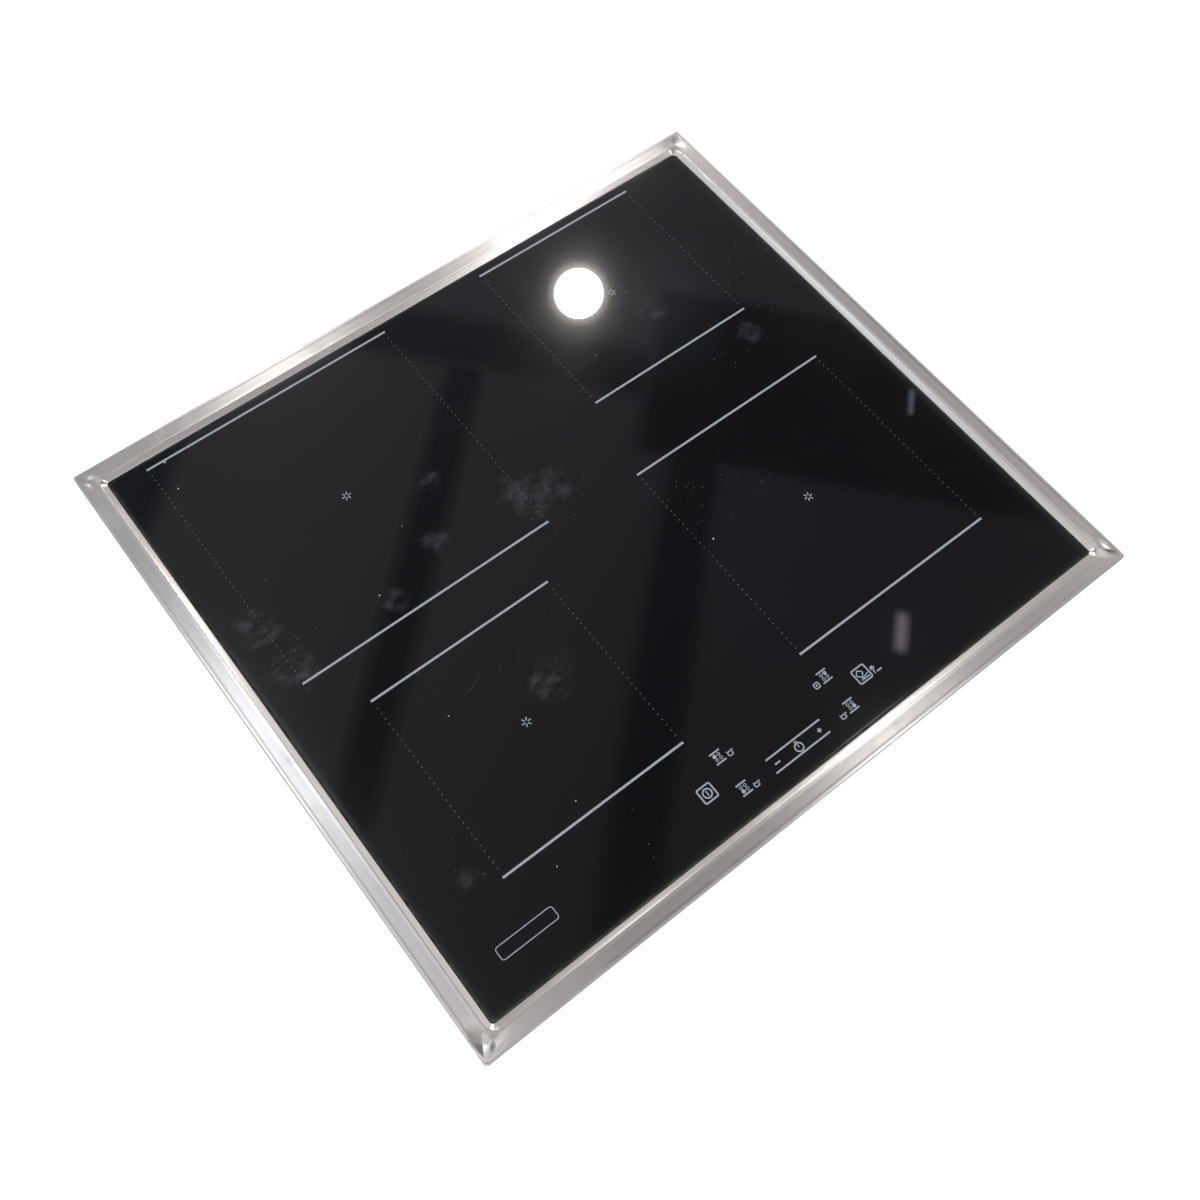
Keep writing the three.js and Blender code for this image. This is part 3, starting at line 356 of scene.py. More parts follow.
def make_smears():
    """Cloudy patches with streaks in them, as a cloth or fingers leave."""
    group, given, out = new_group("Smears", "Mask", Scale=9.0, Low=0.5, High=0.75)
    patches = noise(given["Vector"], given["Scale"], 3.0, 0.6)
    wiped = stretched(given["Vector"], (1.0, 5.0, 1.0), (0, 0, math.radians(38)))
    streaks = noise(wiped, times(given["Scale"], 6.0), 4.0, 0.65)
    held = node("ShaderNodeMapRange", {0: patches, 1: given["Low"], 2: given["High"]},
                interpolation_type="SMOOTHSTEP").outputs[0]
    group.links.new(times(held, streaks), out.inputs["Mask"])
    return group


def make_wear():
    """A mask of the outer edges, where handling rubs a surface bare."""
    group, given, out = new_group("Edge wear", "Mask", Radius=0.6 * MM, Patchiness=90.0)
    rounded = node("ShaderNodeBevel", {"Radius": given["Radius"]}, samples=4).outputs[0]
    plain = group.nodes.new("ShaderNodeNewGeometry").outputs["Normal"]
    alike = node("ShaderNodeVectorMath", {0: rounded, 1: plain}, operation="DOT_PRODUCT")
    edge = remap(alike.outputs["Value"], 0.998, 0.93, 0, 1)
    broken = remap(noise(given["Vector"], given["Patchiness"], 3.0), 0.4, 0.62, 0, 1)
    group.links.new(times(edge, broken), out.inputs["Mask"])
    return group


def make_patch():
    """A soft round patch on the glass: 1 at its middle, 0 at its reach, with an uneven edge."""
    group, given, out = new_group("Soft patch", "Mask", X=0.0, Y=0.0, Reach=30 * MM)
    axes = node("ShaderNodeSeparateXYZ", {0: given["Vector"]}).outputs
    off_x = minus(axes[0], given["X"])
    off_y = minus(axes[1], given["Y"])
    square = plus(times(off_x, off_x), times(off_y, off_y))
    away = maths("DIVIDE", maths("SQRT", square), given["Reach"])
    uneven = remap(noise(given["Vector"], 45.0, 3.0), 0.3, 0.7, -0.35, 0.35)
    away = plus(away, uneven)
    mask = node("ShaderNodeMapRange", {0: away, 1: 0.25, 2: 1.0, 3: 1.0, 4: 0.0},
                interpolation_type="SMOOTHSTEP")
    group.links.new(mask.outputs[0], out.inputs["Mask"])
    return group


GRAIN = make_grain()
SPECKS = make_specks()
SMEARS = make_smears()
WEAR = make_wear()
PATCH = make_patch()


def new_material(name, **plain):
    """A material with its shader, the plain numbers set on the shader's own sockets."""
    material = bpy.data.materials.new(name)
    material.use_nodes = True
    tree = material.node_tree
    Work.tree = tree
    shader = tree.nodes["Principled BSDF"]
    for key, value in plain.items():
        shader.inputs[key.replace("_", " ").title().replace("Ior", "IOR")].default_value = value
    place = tree.nodes.new("ShaderNodeTexCoord").outputs["Object"]
    return material, shader, place


def wire(shader, **links):
    for key, value in links.items():
        Work.tree.links.new(value, shader.inputs[key.replace("_", " ").title()])


def bump(shader, height, strength=0.3, distance=0.1 * MM):
    made = node("ShaderNodeBump", {"Height": height, "Strength": strength, "Distance": distance})
    Work.tree.links.new(made.outputs["Normal"], shader.inputs["Normal"])


# ---- Materials ----

def make_stainless():
    """Satin steel, brushed along each side of the frame, with the corners rubbed smoother."""
    material, shader, place = new_material("Brushed stainless", Metallic=1.0)
    axes = node("ShaderNodeSeparateXYZ", {0: place}).outputs
    past_x = minus(maths("ABSOLUTE", axes[0]), HALF_X)
    past_y = minus(maths("ABSOLUTE", axes[1]), HALF_Y)
    on_side = remap(minus(past_x, past_y), -1 * MM, 1 * MM, 0, 1)
    across = effect(GRAIN, vector=place, length=14.0, fineness=1500.0)
    turned = stretched(place, (1, 1, 1), (0, 0, math.pi / 2))
    along = effect(GRAIN, vector=turned, length=14.0, fineness=1500.0)
    lines = between(on_side, across, along)
    nearness = maths("MINIMUM", past_x, past_y)
    corner = remap(nearness, -24 * MM, -12 * MM, 0, 1)
    clouds = noise(place, 14.0, 3.0, 0.55)
    marks = effect(SMEARS, vector=place, scale=22.0, low=0.52, high=0.7)
    pits = effect(SPECKS, vector=place, density=110.0, size=0.07, share=0.3)
    warm = blend(clouds, (0.53, 0.51, 0.50), (0.60, 0.585, 0.575))
    tone = stain(warm, lines, 0.14, (0.40, 0.385, 0.375))
    tone = stain(tone, pits, 0.3, (0.32, 0.29, 0.27))
    rough = remap(lines, 0.3, 0.7, 0.15, 0.20)
    rough = plus(rough, times(marks, 0.08))
    rough = minus(rough, times(corner, 0.04))
    wire(shader, base_color=tone, roughness=rough)
    ripple = plus(times(lines, 0.5), times(clouds, 0.6))
    bump(shader, ripple, 0.06, 0.04 * MM)
    return material


# Where dust has gathered, where a cloth has smeared it and where a pan was turned (x, y, reach in mm)
DUSTY_PLACES = ((225, 95, 85), (-245, 60, 65), (-228, -158, 34), (48, 188, 38), (185, 60, 50),
                (90, -30, 60), (150, 170, 50), (-20, 30, 50), (-120, -205, 30))
SMEARED_PLACES = ((-32, 47, 26), (-10, 40, 18), (200, 58, 13), (-104, -84, 20), (-108, 54, 12),
                  (-82, 98, 10), (-158, 32, 13), (150, 120, 14), (-248, 75, 20), (-245, 30, 22),
                  (-232, -158, 10))
SCRATCHED_PLACES = ((-130, -65, 34),)


def patches_at(place, spots):
    """Soft patches at the given spots, each an (x, y, reach) in mm."""
    mask = None
    for x, y, reach in spots:
        patch = effect(PATCH, vector=place, x=x * MM, y=y * MM, reach=reach * MM)
        mask = maths("MAXIMUM", mask, patch) if mask else patch
    return mask


def make_glass():
    """Black glass-ceramic, wiped but not clean: dust, smears and a few hair scratches."""
    material, shader, place = new_material(
        "Black glass-ceramic", Ior=1.5, Coat_Ior=1.5, Coat_Roughness=0.012, Specular_Ior_Level=0.10)
    dust = effect(SPECKS, vector=place, density=230.0, size=0.055, share=0.3)
    grit = effect(SPECKS, vector=stretched(place, (1, 1, 1), place=(3, 7, 0)), density=31.0,
                  size=0.028, share=0.75)
    dusty = patches_at(place, DUSTY_PLACES)
    crowd = effect(SPECKS, vector=stretched(place, (1, 1, 1), place=(1, 2, 0)), density=330.0,
                   size=0.11, share=0.5)
    crowd = times(crowd, dusty)
    wiped = effect(SMEARS, vector=stretched(place, (0.8, 1.3, 1), (0, 0, math.radians(-20))),
                   scale=85.0, low=0.34, high=0.85)
    smear = patches_at(place, SMEARED_PLACES)
    smear = times(smear, wiped)
    film = effect(SMEARS, vector=place, scale=7.0, low=0.5, high=0.8)
    round_pan = stretched(place, (1, 1, 0), place=(165 * MM, 12 * MM, 0))
    rings = node("ShaderNodeTexWave",
                 {"Vector": round_pan, "Scale": 26.0, "Distortion": 2.6, "Detail": 2.0},
                 wave_type="RINGS", rings_direction="SPHERICAL").outputs["Fac"]
    hair = remap(rings, 0.985, 1.0, 0, 1)
    near = patches_at(place, SCRATCHED_PLACES)
    near = times(near, remap(noise(place, 60.0, 2.0), 0.42, 0.62, 0, 1))
    scratch = times(hair, near)
    tint = noise(place, 3.5, 1.0)
    tint = blend(tint, (0.0026, 0.0018, 0.0024), (0.0016, 0.0018, 0.0028))
    tone = stain(tint, film, 0.012, (0.16, 0.17, 0.19))
    tone = stain(tone, smear, 0.20, (0.34, 0.37, 0.42))
    tone = stain(tone, scratch, 0.045, (0.4, 0.42, 0.45))
    tone = stain(tone, dust, 0.10, (0.5, 0.5, 0.5))
    tone = stain(tone, crowd, 0.34, (0.5, 0.55, 0.58))
    tone = stain(tone, grit, 0.6, (0.6, 0.62, 0.64))
    veil = plus(times(film, 0.2), times(smear, 0.5))
    rough = remap(plus(veil, dust), 0, 1, 0.10, 0.6)
    coat = remap(plus(veil, times(dust, 0.6)), 0, 1, 0.76, 0.0)
    wire(shader, base_color=tone, roughness=rough, coat_weight=coat)
    return material


def make_ink():
    """Pale ceramic ink fired onto the glass, a little worn."""
    material, shader, place = new_material("Fired ink", Ior=1.45)
    wear = noise(place, 420.0, 3.0, 0.6)
    patches = noise(place, 35.0, 2.0)
    tone = blend(patches, (0.20, 0.235, 0.29), (0.26, 0.29, 0.34))
    tone = blend(remap(wear, 0.55, 0.8, 0.0, 0.6), tone, (0.10, 0.11, 0.13))
    wire(shader, base_color=tone, roughness=remap(wear, 0.3, 0.7, 0.34, 0.55))
    return material


def make_faint_ink():
    """The same ink in a thin coat, for the dotted sides."""
    material, shader, place = new_material("Thin ink", Ior=1.45)
    patches = noise(place, 60.0, 2.0)
    tone = blend(patches, (0.05, 0.058, 0.07), (0.12, 0.135, 0.15))
    wire(shader, base_color=tone, roughness=remap(patches, 0.3, 0.7, 0.4, 0.55))
    return material


def make_moulded(name, dark, light, low, high, grain=2600.0, dusty=0.06):
    """Moulded plastic or rubber with a fine grain, rubbed edges and a little dust."""
    material, shader, place = new_material(name, Ior=1.5)
    fine = noise(place, grain, 2.0, 0.55)
    clouds = noise(place, 24.0, 3.0, 0.5)
    dust = effect(SPECKS, vector=place, density=240.0, size=0.12, share=0.4)
    rubbed = effect(WEAR, vector=place, radius=0.35 * MM, patchiness=160.0)
    tone = blend(clouds, dark, light)
    tone = stain(tone, rubbed, 0.35, [0.5 * part + 0.22 for part in light])
    tone = stain(tone, dust, dusty, (0.55, 0.53, 0.5))
    rough = remap(plus(fine, times(clouds, 0.5)), 0.4, 1.1, low, high)
    wire(shader, base_color=tone, roughness=rough)
    bump(shader, fine, 0.35, 0.06 * MM)
    return material


def make_foam():
    material, shader, place = new_material("Grey foam", Ior=1.4)
    pores = cells(place, 1400.0)[0]
    clouds = noise(place, 60.0, 3.0)
    tone = blend(pores, (0.035, 0.035, 0.038), (0.095, 0.095, 0.1))
    tone = stain(tone, clouds, 0.4, (0.05, 0.048, 0.046))
    wire(shader, base_color=tone, roughness=remap(clouds, 0.3, 0.7, 0.85, 1.0))
    bump(shader, pores, 0.6, 0.3 * MM)
    return material


def make_galvanised():
    """Hot-dip galvanised sheet: flat crystals of zinc of every grey, scuffed and stained a little."""
    material, shader, place = new_material("Galvanised sheet", Metallic=1.0)
    wander = node("ShaderNodeTexNoise", {"Vector": place, "Scale": 60.0}).outputs["Color"]
    wander = stretched(wander, (0.006, 0.006, 0.006))
    bent = node("ShaderNodeVectorMath", {0: place, 1: wander}, operation="ADD").outputs[0]
    shade = cells(bent, 95.0)[1]
    feather = noise(stretched(bent, (1.0, 4.0, 1.0), (0, 0, 0.6)), 320.0, 3.0)
    clouds = noise(place, 7.0, 3.0)
    scuffs = effect(SMEARS, vector=place, scale=16.0, low=0.55, high=0.7)
    rubbed = effect(WEAR, vector=place, radius=0.5 * MM, patchiness=120.0)
    grey = plus(times(shade[0], 0.6), times(feather, 0.4))
    tone = blend(grey, (0.40, 0.42, 0.44), (0.66, 0.68, 0.70))
    tone = blend(remap(clouds, 0.5, 0.8, 0.0, 0.35), tone, (0.36, 0.35, 0.33))
    tone = stain(tone, rubbed, 0.5, (0.82, 0.83, 0.85))
    rough = plus(remap(shade[1], 0, 1, 0.30, 0.48), times(scuffs, 0.2))
    wire(shader, base_color=tone, roughness=rough)
    bump(shader, plus(feather, shade[2]), 0.2, 0.04 * MM)
    return material


def make_metal(name, dark, light, low, high, length=30.0, fineness=1600.0):
    """Rolled, drawn or plated metal with fine lines, stains and bright rubbed edges."""
    material, shader, place = new_material(name, Metallic=1.0)
    lines = effect(GRAIN, vector=place, length=length, fineness=fineness)
    clouds = noise(place, 38.0, 3.0, 0.55)
    rubbed = effect(WEAR, vector=place, radius=0.3 * MM, patchiness=200.0)
    tone = blend(plus(times(lines, 0.5), times(clouds, 0.5)), dark, light)
    tone = stain(tone, rubbed, 0.45, [0.6 * part + 0.36 for part in light])
    wire(shader, base_color=tone, roughness=remap(plus(lines, clouds), 0.7, 1.3, low, high))
    bump(shader, lines, 0.2, 0.04 * MM)
    return material


def make_litz():
    """Stranded copper under clear varnish, its strands lying slantwise round the wire."""
    material, shader, place = new_material(
        "Copper litz", Metallic=0.9, Coat_Weight=0.4, Coat_Roughness=0.2)
    strands = node("ShaderNodeTexWave", {"Vector": place, "Scale": 420.0, "Distortion": 3.0,
                                         "Detail": 2.0, "Detail Scale": 2.0},
                   bands_direction="DIAGONAL").outputs["Fac"]
    age = noise(place, 50.0, 3.0)
    tone = blend(strands, (0.30, 0.11, 0.045), (0.72, 0.34, 0.17))
    tone = blend(remap(age, 0.45, 0.75, 0.0, 0.5), tone, (0.24, 0.10, 0.05))
    wire(shader, base_color=tone, roughness=remap(strands, 0, 1, 0.45, 0.3))
    bump(shader, strands, 0.5, 0.15 * MM)
    return material


def make_mica():
    material, shader, place = new_material("Mica sheet", Ior=1.56)
    luck = cells(place, 260.0)[1]
    clouds = noise(place, 30.0, 3.0)
    tone = blend(luck[0], (0.40, 0.35, 0.25), (0.62, 0.57, 0.46))
    tone = blend(remap(clouds, 0.5, 0.75, 0.0, 0.5), tone, (0.30, 0.24, 0.16))
    wire(shader, base_color=tone, roughness=remap(luck[1], 0, 1, 0.25, 0.6))
    bump(shader, luck[2], 0.15, 0.05 * MM)
    return material


def make_circuit_board():
    """Green solder mask over copper tracks, with rows of tinned pads."""
    material, shader, place = new_material(
        "Circuit board", Ior=1.5, Coat_Weight=0.5, Coat_Roughness=0.15)
    luck = cells(place, 90.0, distance="CHEBYCHEV")[1]
    tracks = remap(luck[0], 0.45, 0.5, 0, 1)
    pads = effect(SPECKS, vector=place, density=210.0, size=0.26, share=0.3)
    tone = blend(tracks, (0.012, 0.085, 0.040), (0.03, 0.17, 0.08))
    tone = blend(pads, tone, (0.62, 0.62, 0.58))
    wire(shader, base_color=tone, metallic=pads, roughness=remap(luck[1], 0, 1, 0.3, 0.5))
    bump(shader, plus(tracks, pads), 0.3, 0.05 * MM)
    return material


STAINLESS = make_stainless()
GLASS = make_glass()
PRINT = make_ink()
FAINT_PRINT = make_faint_ink()
SILICONE = make_moulded("Black silicone", (0.003, 0.003, 0.003), (0.007, 0.007, 0.008), 0.42, 0.62, 900.0)
FOAM = make_foam()
GALVANISED = make_galvanised()
ZINC = make_metal("Zinc plating", (0.42, 0.43, 0.44), (0.66, 0.67, 0.66), 0.24, 0.42, 200.0)
SPRING = make_metal("Spring steel", (0.20, 0.205, 0.22), (0.40, 0.41, 0.43), 0.28, 0.45, 40.0)
ALUMINIUM = make_metal("Bare aluminium", (0.58, 0.59, 0.60), (0.78, 0.79, 0.80), 0.28, 0.46, 16.0, 900.0)
LITZ = make_litz()
MICA = make_mica()
BLACK_PLASTIC = make_moulded("Black plastic", (0.020, 0.020, 0.022), (0.042, 0.042, 0.045), 0.42, 0.66)
WHITE_PLASTIC = make_moulded("White plastic", (0.60, 0.58, 0.53), (0.74, 0.72, 0.67), 0.36, 0.56, dusty=0.02)
YELLOW_FILM = make_moulded("Yellow case", (0.52, 0.34, 0.05), (0.68, 0.46, 0.10), 0.22, 0.38, 1800.0, 0.04)
BOARD = make_circuit_board()


# ---- Trim frame ----

def frame_section():
    """The frame's sheet seen end-on, from the outer skirt over the lip to the seat and back below."""
    outer = 0.6 * MM
    wall = SEAT_WALL
    seat_top = GLASS_LOW.z - 1.2 * MM
    inner = FLANGE + 9 * MM
    glass_corner = 2.4 * MM
    points = [(0, TOP - SKIRT), (0, TOP - 3 * MM)]
    for step in range(6):
        angle = math.radians(18 * step)
        points.append((outer * (1 - math.cos(angle)), TOP - outer * (1 - math.sin(angle))))
    points += [(inset * MM, TOP - 0.08 * MM) for inset in (2.4, 4.2, 6.2, 8.2, 10)]
    lip = [(11.2, 0.08), (11.9, 0.06), (12.4, 0.02), (12.8, 0), (13.0, 0.03), (13.2, 0.10), (13.6, 0.25),
           (14.3, 0.52), (15.2, 0.88), (16.1, 1.24), (16.9, 1.56), (17.2, 1.70), (17.4, 1.84), (17.5, 1.98)]
    points += [(inset * MM, TOP - drop * MM) for inset, drop in lip]
    points += [(wall, seat_top + 1.2 * MM), (wall + 0.3 * MM, seat_top + 0.3 * MM)]
    points += [(wall + 1.1 * MM, seat_top), (inner - 0.1 * MM, seat_top)]
    points += [(inner, seat_top - 0.1 * MM), (inner, seat_top - 0.9 * MM)]
    points += [(inner - 0.1 * MM, seat_top - SHEET), (wall - SHEET, seat_top - SHEET)]
    points += [(wall - SHEET, TOP - 2.8 * MM), (15.2 * MM, TOP - 2.1 * MM), (13.2 * MM, TOP - 1.3 * MM)]
    points += [(12.2 * MM, TOP - 1.0 * MM)]
    points += [(inset * MM, TOP - SHEET) for inset in (10, 8.2, 6.2, 4.2, 2.4)]
    points += [(1.5 * MM, TOP - SHEET), (1.15 * MM, TOP - 1.1 * MM), (SHEET, TOP - 1.5 * MM)]
    points.append((SHEET, TOP - SKIRT))
    section = []
    for inset, height in points:
        tight = max(2.2 * MM - inset, 0.8 * MM)
        round_glass = glass_corner + abs(FLANGE - inset) if inset <= FLANGE else glass_corner
        share = min(max((inset - outer) / (LIP_START - outer), 0), 1)
        corner = tight * (1 - share) + round_glass * share
        section.append((HALF_X - inset, HALF_Y - inset, height, corner))
    return section


# Where the corners came out low: (side, end, inset from each edge, depth, reach), in mm
DENTS = ((-1, -1, 5, 15, 0.8, 7), (-1, -1, 12, 8, 0.35, 5), (1, -1, 8, 13, 0.8, 8), (1, 1, 10, 9, 0.45, 8),
         (-1, 1, 9, 11, 0.5, 8))


def press_corner(piece, side, end, inset_x, inset_y, depth, reach):
    """Pushes the sheet down round one spot near a corner, as welding leaves it."""
    spot = Vector((side * (HALF_X - inset_x * MM), end * (HALF_Y - inset_y * MM), TOP))
    mesh = bmesh.from_edit_mesh(piece.data)
    closest = min((corner.co.copy() for corner in mesh.verts), key=lambda place: (place - spot).length)
    pick(piece, "VERT", lambda place: (place - closest).length < 0.05 * MM)
    bpy.ops.transform.translate(
        value=(0, 0, -depth * MM), use_proportional_edit=True, proportional_edit_falloff="SMOOTH",
        proportional_size=reach * MM)


def add_lug(x, y, turn):
    """A folded lug below the seat that takes one of the tray's screws."""
    face = SEAT_WALL - TRAY_INSET
    low, high = TOP - LUG_DROP, GLASS_LOW.z - 1.5 * MM
    place = Matrix.Translation((x, y, 0)) @ Matrix.Rotation(turn, 4, "Z")
    bpy.ops.mesh.primitive_cube_add(
        size=1, location=place @ Vector((-face + SHEET / 2, 0, (low + high) / 2)), rotation=(0, 0, turn),
        scale=(SHEET, LUG_WIDTH, high - low))
    bpy.ops.mesh.bevel(offset=0.25 * MM, segments=2)


def make_frame():
    piece = new_piece("frame_pressing")
    loft(piece, frame_section())
    pick(piece, "EDGE", lambda middle, way: way.length > HALF_Y)
    bpy.ops.mesh.subdivide(number_cuts=9)
    near_end = (HALF_X - 50 * MM, HALF_Y - 50 * MM)
    pick(piece, "EDGE", lambda middle, way: way.length > 35 * MM and (
        abs(middle.x) > near_end[0] and abs(way.x) > abs(way.y)
        or abs(middle.y) > near_end[1] and abs(way.y) > abs(way.x)))
    bpy.ops.mesh.subdivide(number_cuts=5)
    for dent in DENTS:
        press_corner(piece, *dent)
    for name in (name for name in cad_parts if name.startswith("screw_")):
        low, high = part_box(name)
        middle = (low + high) / 2
        if "side" in name:
            sign = 1 if middle.x > 0 else -1
            add_lug(sign * TRAY_HIGH.x, middle.y, 0 if sign > 0 else math.pi)
        else:
            sign = 1 if middle.y > 0 else -1
            add_lug(middle.x, sign * TRAY_HIGH.y, sign * math.pi / 2)
    close_piece(piece, 32)
    return mount(piece, STAINLESS, "trim_frame")


# ---- Glass and its seals ----

def make_glass_plate():
    piece = new_piece("black_glass")
    half_x, half_y = GLASS_HIGH.x, GLASS_HIGH.y
    ground = 0.5 * MM
    steps = [(ground, GLASS_LOW.z), (0, GLASS_LOW.z + ground), (0, GLASS_TOP - ground)]
    for turn in map(math.radians, (30, 60, 90)):
        steps.append((ground * (1 - math.cos(turn)), GLASS_TOP - ground * (1 - math.sin(turn))))
    section = [(half_x - inset, half_y - inset, height, 2.9 * MM - inset) for inset, height in steps]
    lines = loft(piece, section, closed=False)
    fill(piece, lines[0])
    fill(piece, lines[-1])
    bpy.ops.mesh.inset(thickness=0.2 * MM)
    close_piece(piece, 20)
    return mount(piece, GLASS, "glass_plate")


def make_ring(name, section, material, cad_node):
    """A closed ring lying under the frame."""
    piece = new_piece(name)
    loft(piece, section)
    close_piece(piece)
    return mount(piece, material, cad_node)


def make_seal():
    """Silicone squeezed up beside the glass, a little hollow on top."""
    wall = 0.3 * MM
    outer_x, outer_y = SEAL_HIGH.x, SEAL_HIGH.y
    gap_x, gap_y = GLASS_HIGH.x + wall, GLASS_HIGH.y + wall
    inner_x, inner_y = HALF_X - FLANGE - 8.7 * MM, HALF_Y - FLANGE - 8.7 * MM
    foot_low, foot_top = SEAL_LOW.z, GLASS_LOW.z - 0.3 * MM
    top = GLASS_TOP - 0.45 * MM
    round_outer, round_inner = 3 * MM, 2.6 * MM
    section = [(outer_x, outer_y, foot_low, round_outer), (outer_x, outer_y, top, round_outer)]
    for share, dip in ((0.2, 0.10), (0.45, 0.18), (0.7, 0.12), (1.0, 0.0)):
        section.append((outer_x + (gap_x - outer_x) * share, outer_y + (gap_y - outer_y) * share,
                        top - dip * MM, round_outer + (round_inner - round_outer) * share))
    section += [(gap_x, gap_y, foot_top, round_inner),
                (inner_x + 0.3 * MM, inner_y + 0.3 * MM, foot_top, round_inner),
                (inner_x, inner_y, foot_top - 0.3 * MM, round_inner),
                (inner_x, inner_y, foot_low, round_inner)]
    return make_ring("seal_bead", section, SILICONE, "glass_seal")


def make_gasket():
    """The foam strip under the flange, with soft rounded edges."""
    low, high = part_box("frame_gasket")
    width, soft = 9.6 * MM, 1.2 * MM
    section = []
    for outward, upward in ((1, -1), (1, 1), (-1, 1), (-1, -1)):
        for angle in (0, 30, 60, 90):
            turn = math.radians(angle if outward * upward > 0 else 90 - angle)
            edge = 0 if outward > 0 else width
            inset = edge + outward * soft * (1 - math.cos(turn))
            end = high.z if upward > 0 else low.z
            height = end - upward * soft * (1 - math.sin(turn))
            section.append((high.x - inset, high.y - inset, height, 3 * MM))
    return make_ring("gasket_strip", section, FOAM, "frame_gasket")


# ---- Marks fired onto the glass, with their places and strokes in mm ----

FINE_STROKE = 0.8
STROKE = 1.1


def bar(x0, y0, x1, y1, width=FINE_STROKE):
    """A straight stroke from one point to another, its ends cut square."""
    length = math.hypot(x1 - x0, y1 - y0)
    oblong((x0 + x1) / 2 * MM, (y0 + y1) / 2 * MM, INK_LEVEL, length / 2 * MM, width / 2 * MM,
           math.atan2(y1 - y0, x1 - x0))


def disc(x, y, radius, sides=12):
    bpy.ops.mesh.primitive_circle_add(
        vertices=sides, radius=radius * MM, fill_type="NGON", location=(x * MM, y * MM, INK_LEVEL))


def hoop(piece, x, y, radius, stroke, sides=32):
    place = (x * MM, y * MM)
    edges = [circle(piece, (radius + off) * MM, INK_LEVEL, place, sides)
             for off in (stroke / 2, -stroke / 2)]
    bridge(piece, *edges)


def box_outline(piece, x, y, half_x, half_y, stroke, corner, turn=0):
    """The outline of a rounded square, drawn with an even stroke."""
    edges = []
    for off in (stroke / 2, -stroke / 2):
        edges.append(outline(piece, (half_x + off) * MM, (half_y + off) * MM, INK_LEVEL,
                             max(corner + off, 0.1) * MM, (x * MM, y * MM), 4, turn))
    bridge(piece, *edges)


def close_print(piece, material=PRINT):
    """Gives flat strokes the thickness of a coat of ink."""
    bpy.ops.mesh.select_mode(type="FACE")
    bpy.ops.mesh.select_all(action="SELECT")
    bpy.ops.mesh.normals_make_consistent(inside=False)
    bpy.ops.mesh.extrude_region_move(TRANSFORM_OT_translate={"value": (0, 0, INK)})
    close_piece(piece, 30)
    return mount(piece, material)


# Where each zone's marks go: the coil's middle is the zone's, and the mark stands 5 mm outside the coil.
ZONE_NAMES = ("rear_left", "rear_right", "front_left", "front_right")
MARK_MARGIN = 5
BAR = 1.65
DOT = 0.42
DOT_PITCH = 4.7


def zone_place(word):
    low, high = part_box("winding_" + word)
    middle = (low + high) / 2
    return middle.x / MM, middle.y / MM, (high.x - low.x) / 2 / MM + MARK_MARGIN


def make_zone_marks(word):
    """Two bars, two dotted sides and a star at the middle."""
    x, y, half = zone_place(word)
    bars = new_piece("zone_bars_" + word)
    for sign in (-1, 1):
        bar(x - half - 1, y + sign * half, x + half + 1, y + sign * half, BAR)
    close_print(bars)
    dots = new_piece("zone_dots_" + word)
    count = int(2 * half / DOT_PITCH) - 1
    for side in (-1, 1):
        for step in range(count):
            disc(x + side * half, y + (step - (count - 1) / 2) * DOT_PITCH, DOT, 8)
    close_print(dots, FAINT_PRINT)
    star = new_piece("zone_star_" + word)
    for step in range(6):
        near = 1.2 * Vector((math.cos(math.radians(60 * step)), math.sin(math.radians(60 * step))))
        far = 3 * near
        bar(x + near.x, y + near.y, x + far.x, y + far.y)
    close_print(star)


KEY_ROW = -206.25  # the middle line of the touch keys


def make_power_key():
    """A rounded square round a ring with an upright tick."""
    piece = new_piece("key_power")
    x = -71.6
    box_outline(piece, x, KEY_ROW, 5.45, 5.45, STROKE, 1.2)
    hoop(piece, x, KEY_ROW, 3.2, 1.0)
    bar(x, KEY_ROW - 1.95, x, KEY_ROW + 1.95, 0.9)
    close_print(piece)


def make_pause_key():
    """A rounded square round a tilted square and a wedge, with a small key beside it."""
    piece = new_piece("key_right")
    x = 70.2
    box_outline(piece, x, KEY_ROW, 5.55, 5.55, STROKE, 1.2)
    box_outline(piece, x - 1.3, KEY_ROW + 0.95, 2.1, 2.1, FINE_STROKE, 0.5, math.radians(45))
    bar(x - 3.7, KEY_ROW - 3.6, x + 4.4, KEY_ROW - 1.2)
    bar(x - 3.7, KEY_ROW - 3.6, x + 4.4, KEY_ROW - 3.6)
    disc(x + 8.9, KEY_ROW - 0.85, 1.7)
    bar(x + 8.8, KEY_ROW - 1, x + 8.3, KEY_ROW - 5.2, 0.9)
    bar(x + 10.2, KEY_ROW - 4.75, x + 14.6, KEY_ROW - 4.75, 1.1)
    close_print(piece)


def make_zone_key(side, end):
    """Two lines round a small plan of the hob, its own zone filled in."""
    piece = new_piece("key_zone_" + ("rear_" if end > 0 else "front_") + ("left" if side < 0 else "right"))
    x = -49.6 if side < 0 else 48.2
    y = KEY_ROW + (14.8 if end > 0 else -12.15)
    for sign in (-1, 1):
        bar(x - 4.25, y + sign * 3.98, x + 4.25, y + sign * 3.98, STROKE)
    for across in (-1, 1):
        for up in (-1, 1):
            place = (x + across * 1.75, y + up * 1.45)
            if (across, up) == (side, end):
                disc(*place, 1.45, 16)
            else:
                hoop(piece, *place, 1.0, 0.5, 12)
    close_print(piece)


def pot(x, y, width, height):
    """A small pan seen from the side, with a handle."""
    half = width / 2
    bar(x - half, y + height / 2, x - half, y - height / 2)
    bar(x + half * 0.5, y + height / 2, x + half * 0.5, y - height / 2)
    bar(x - half, y - height / 2, x + half * 0.5, y - height / 2)
    bar(x - half, y + height * 0.25, x + half * 1.2, y + height * 0.25)


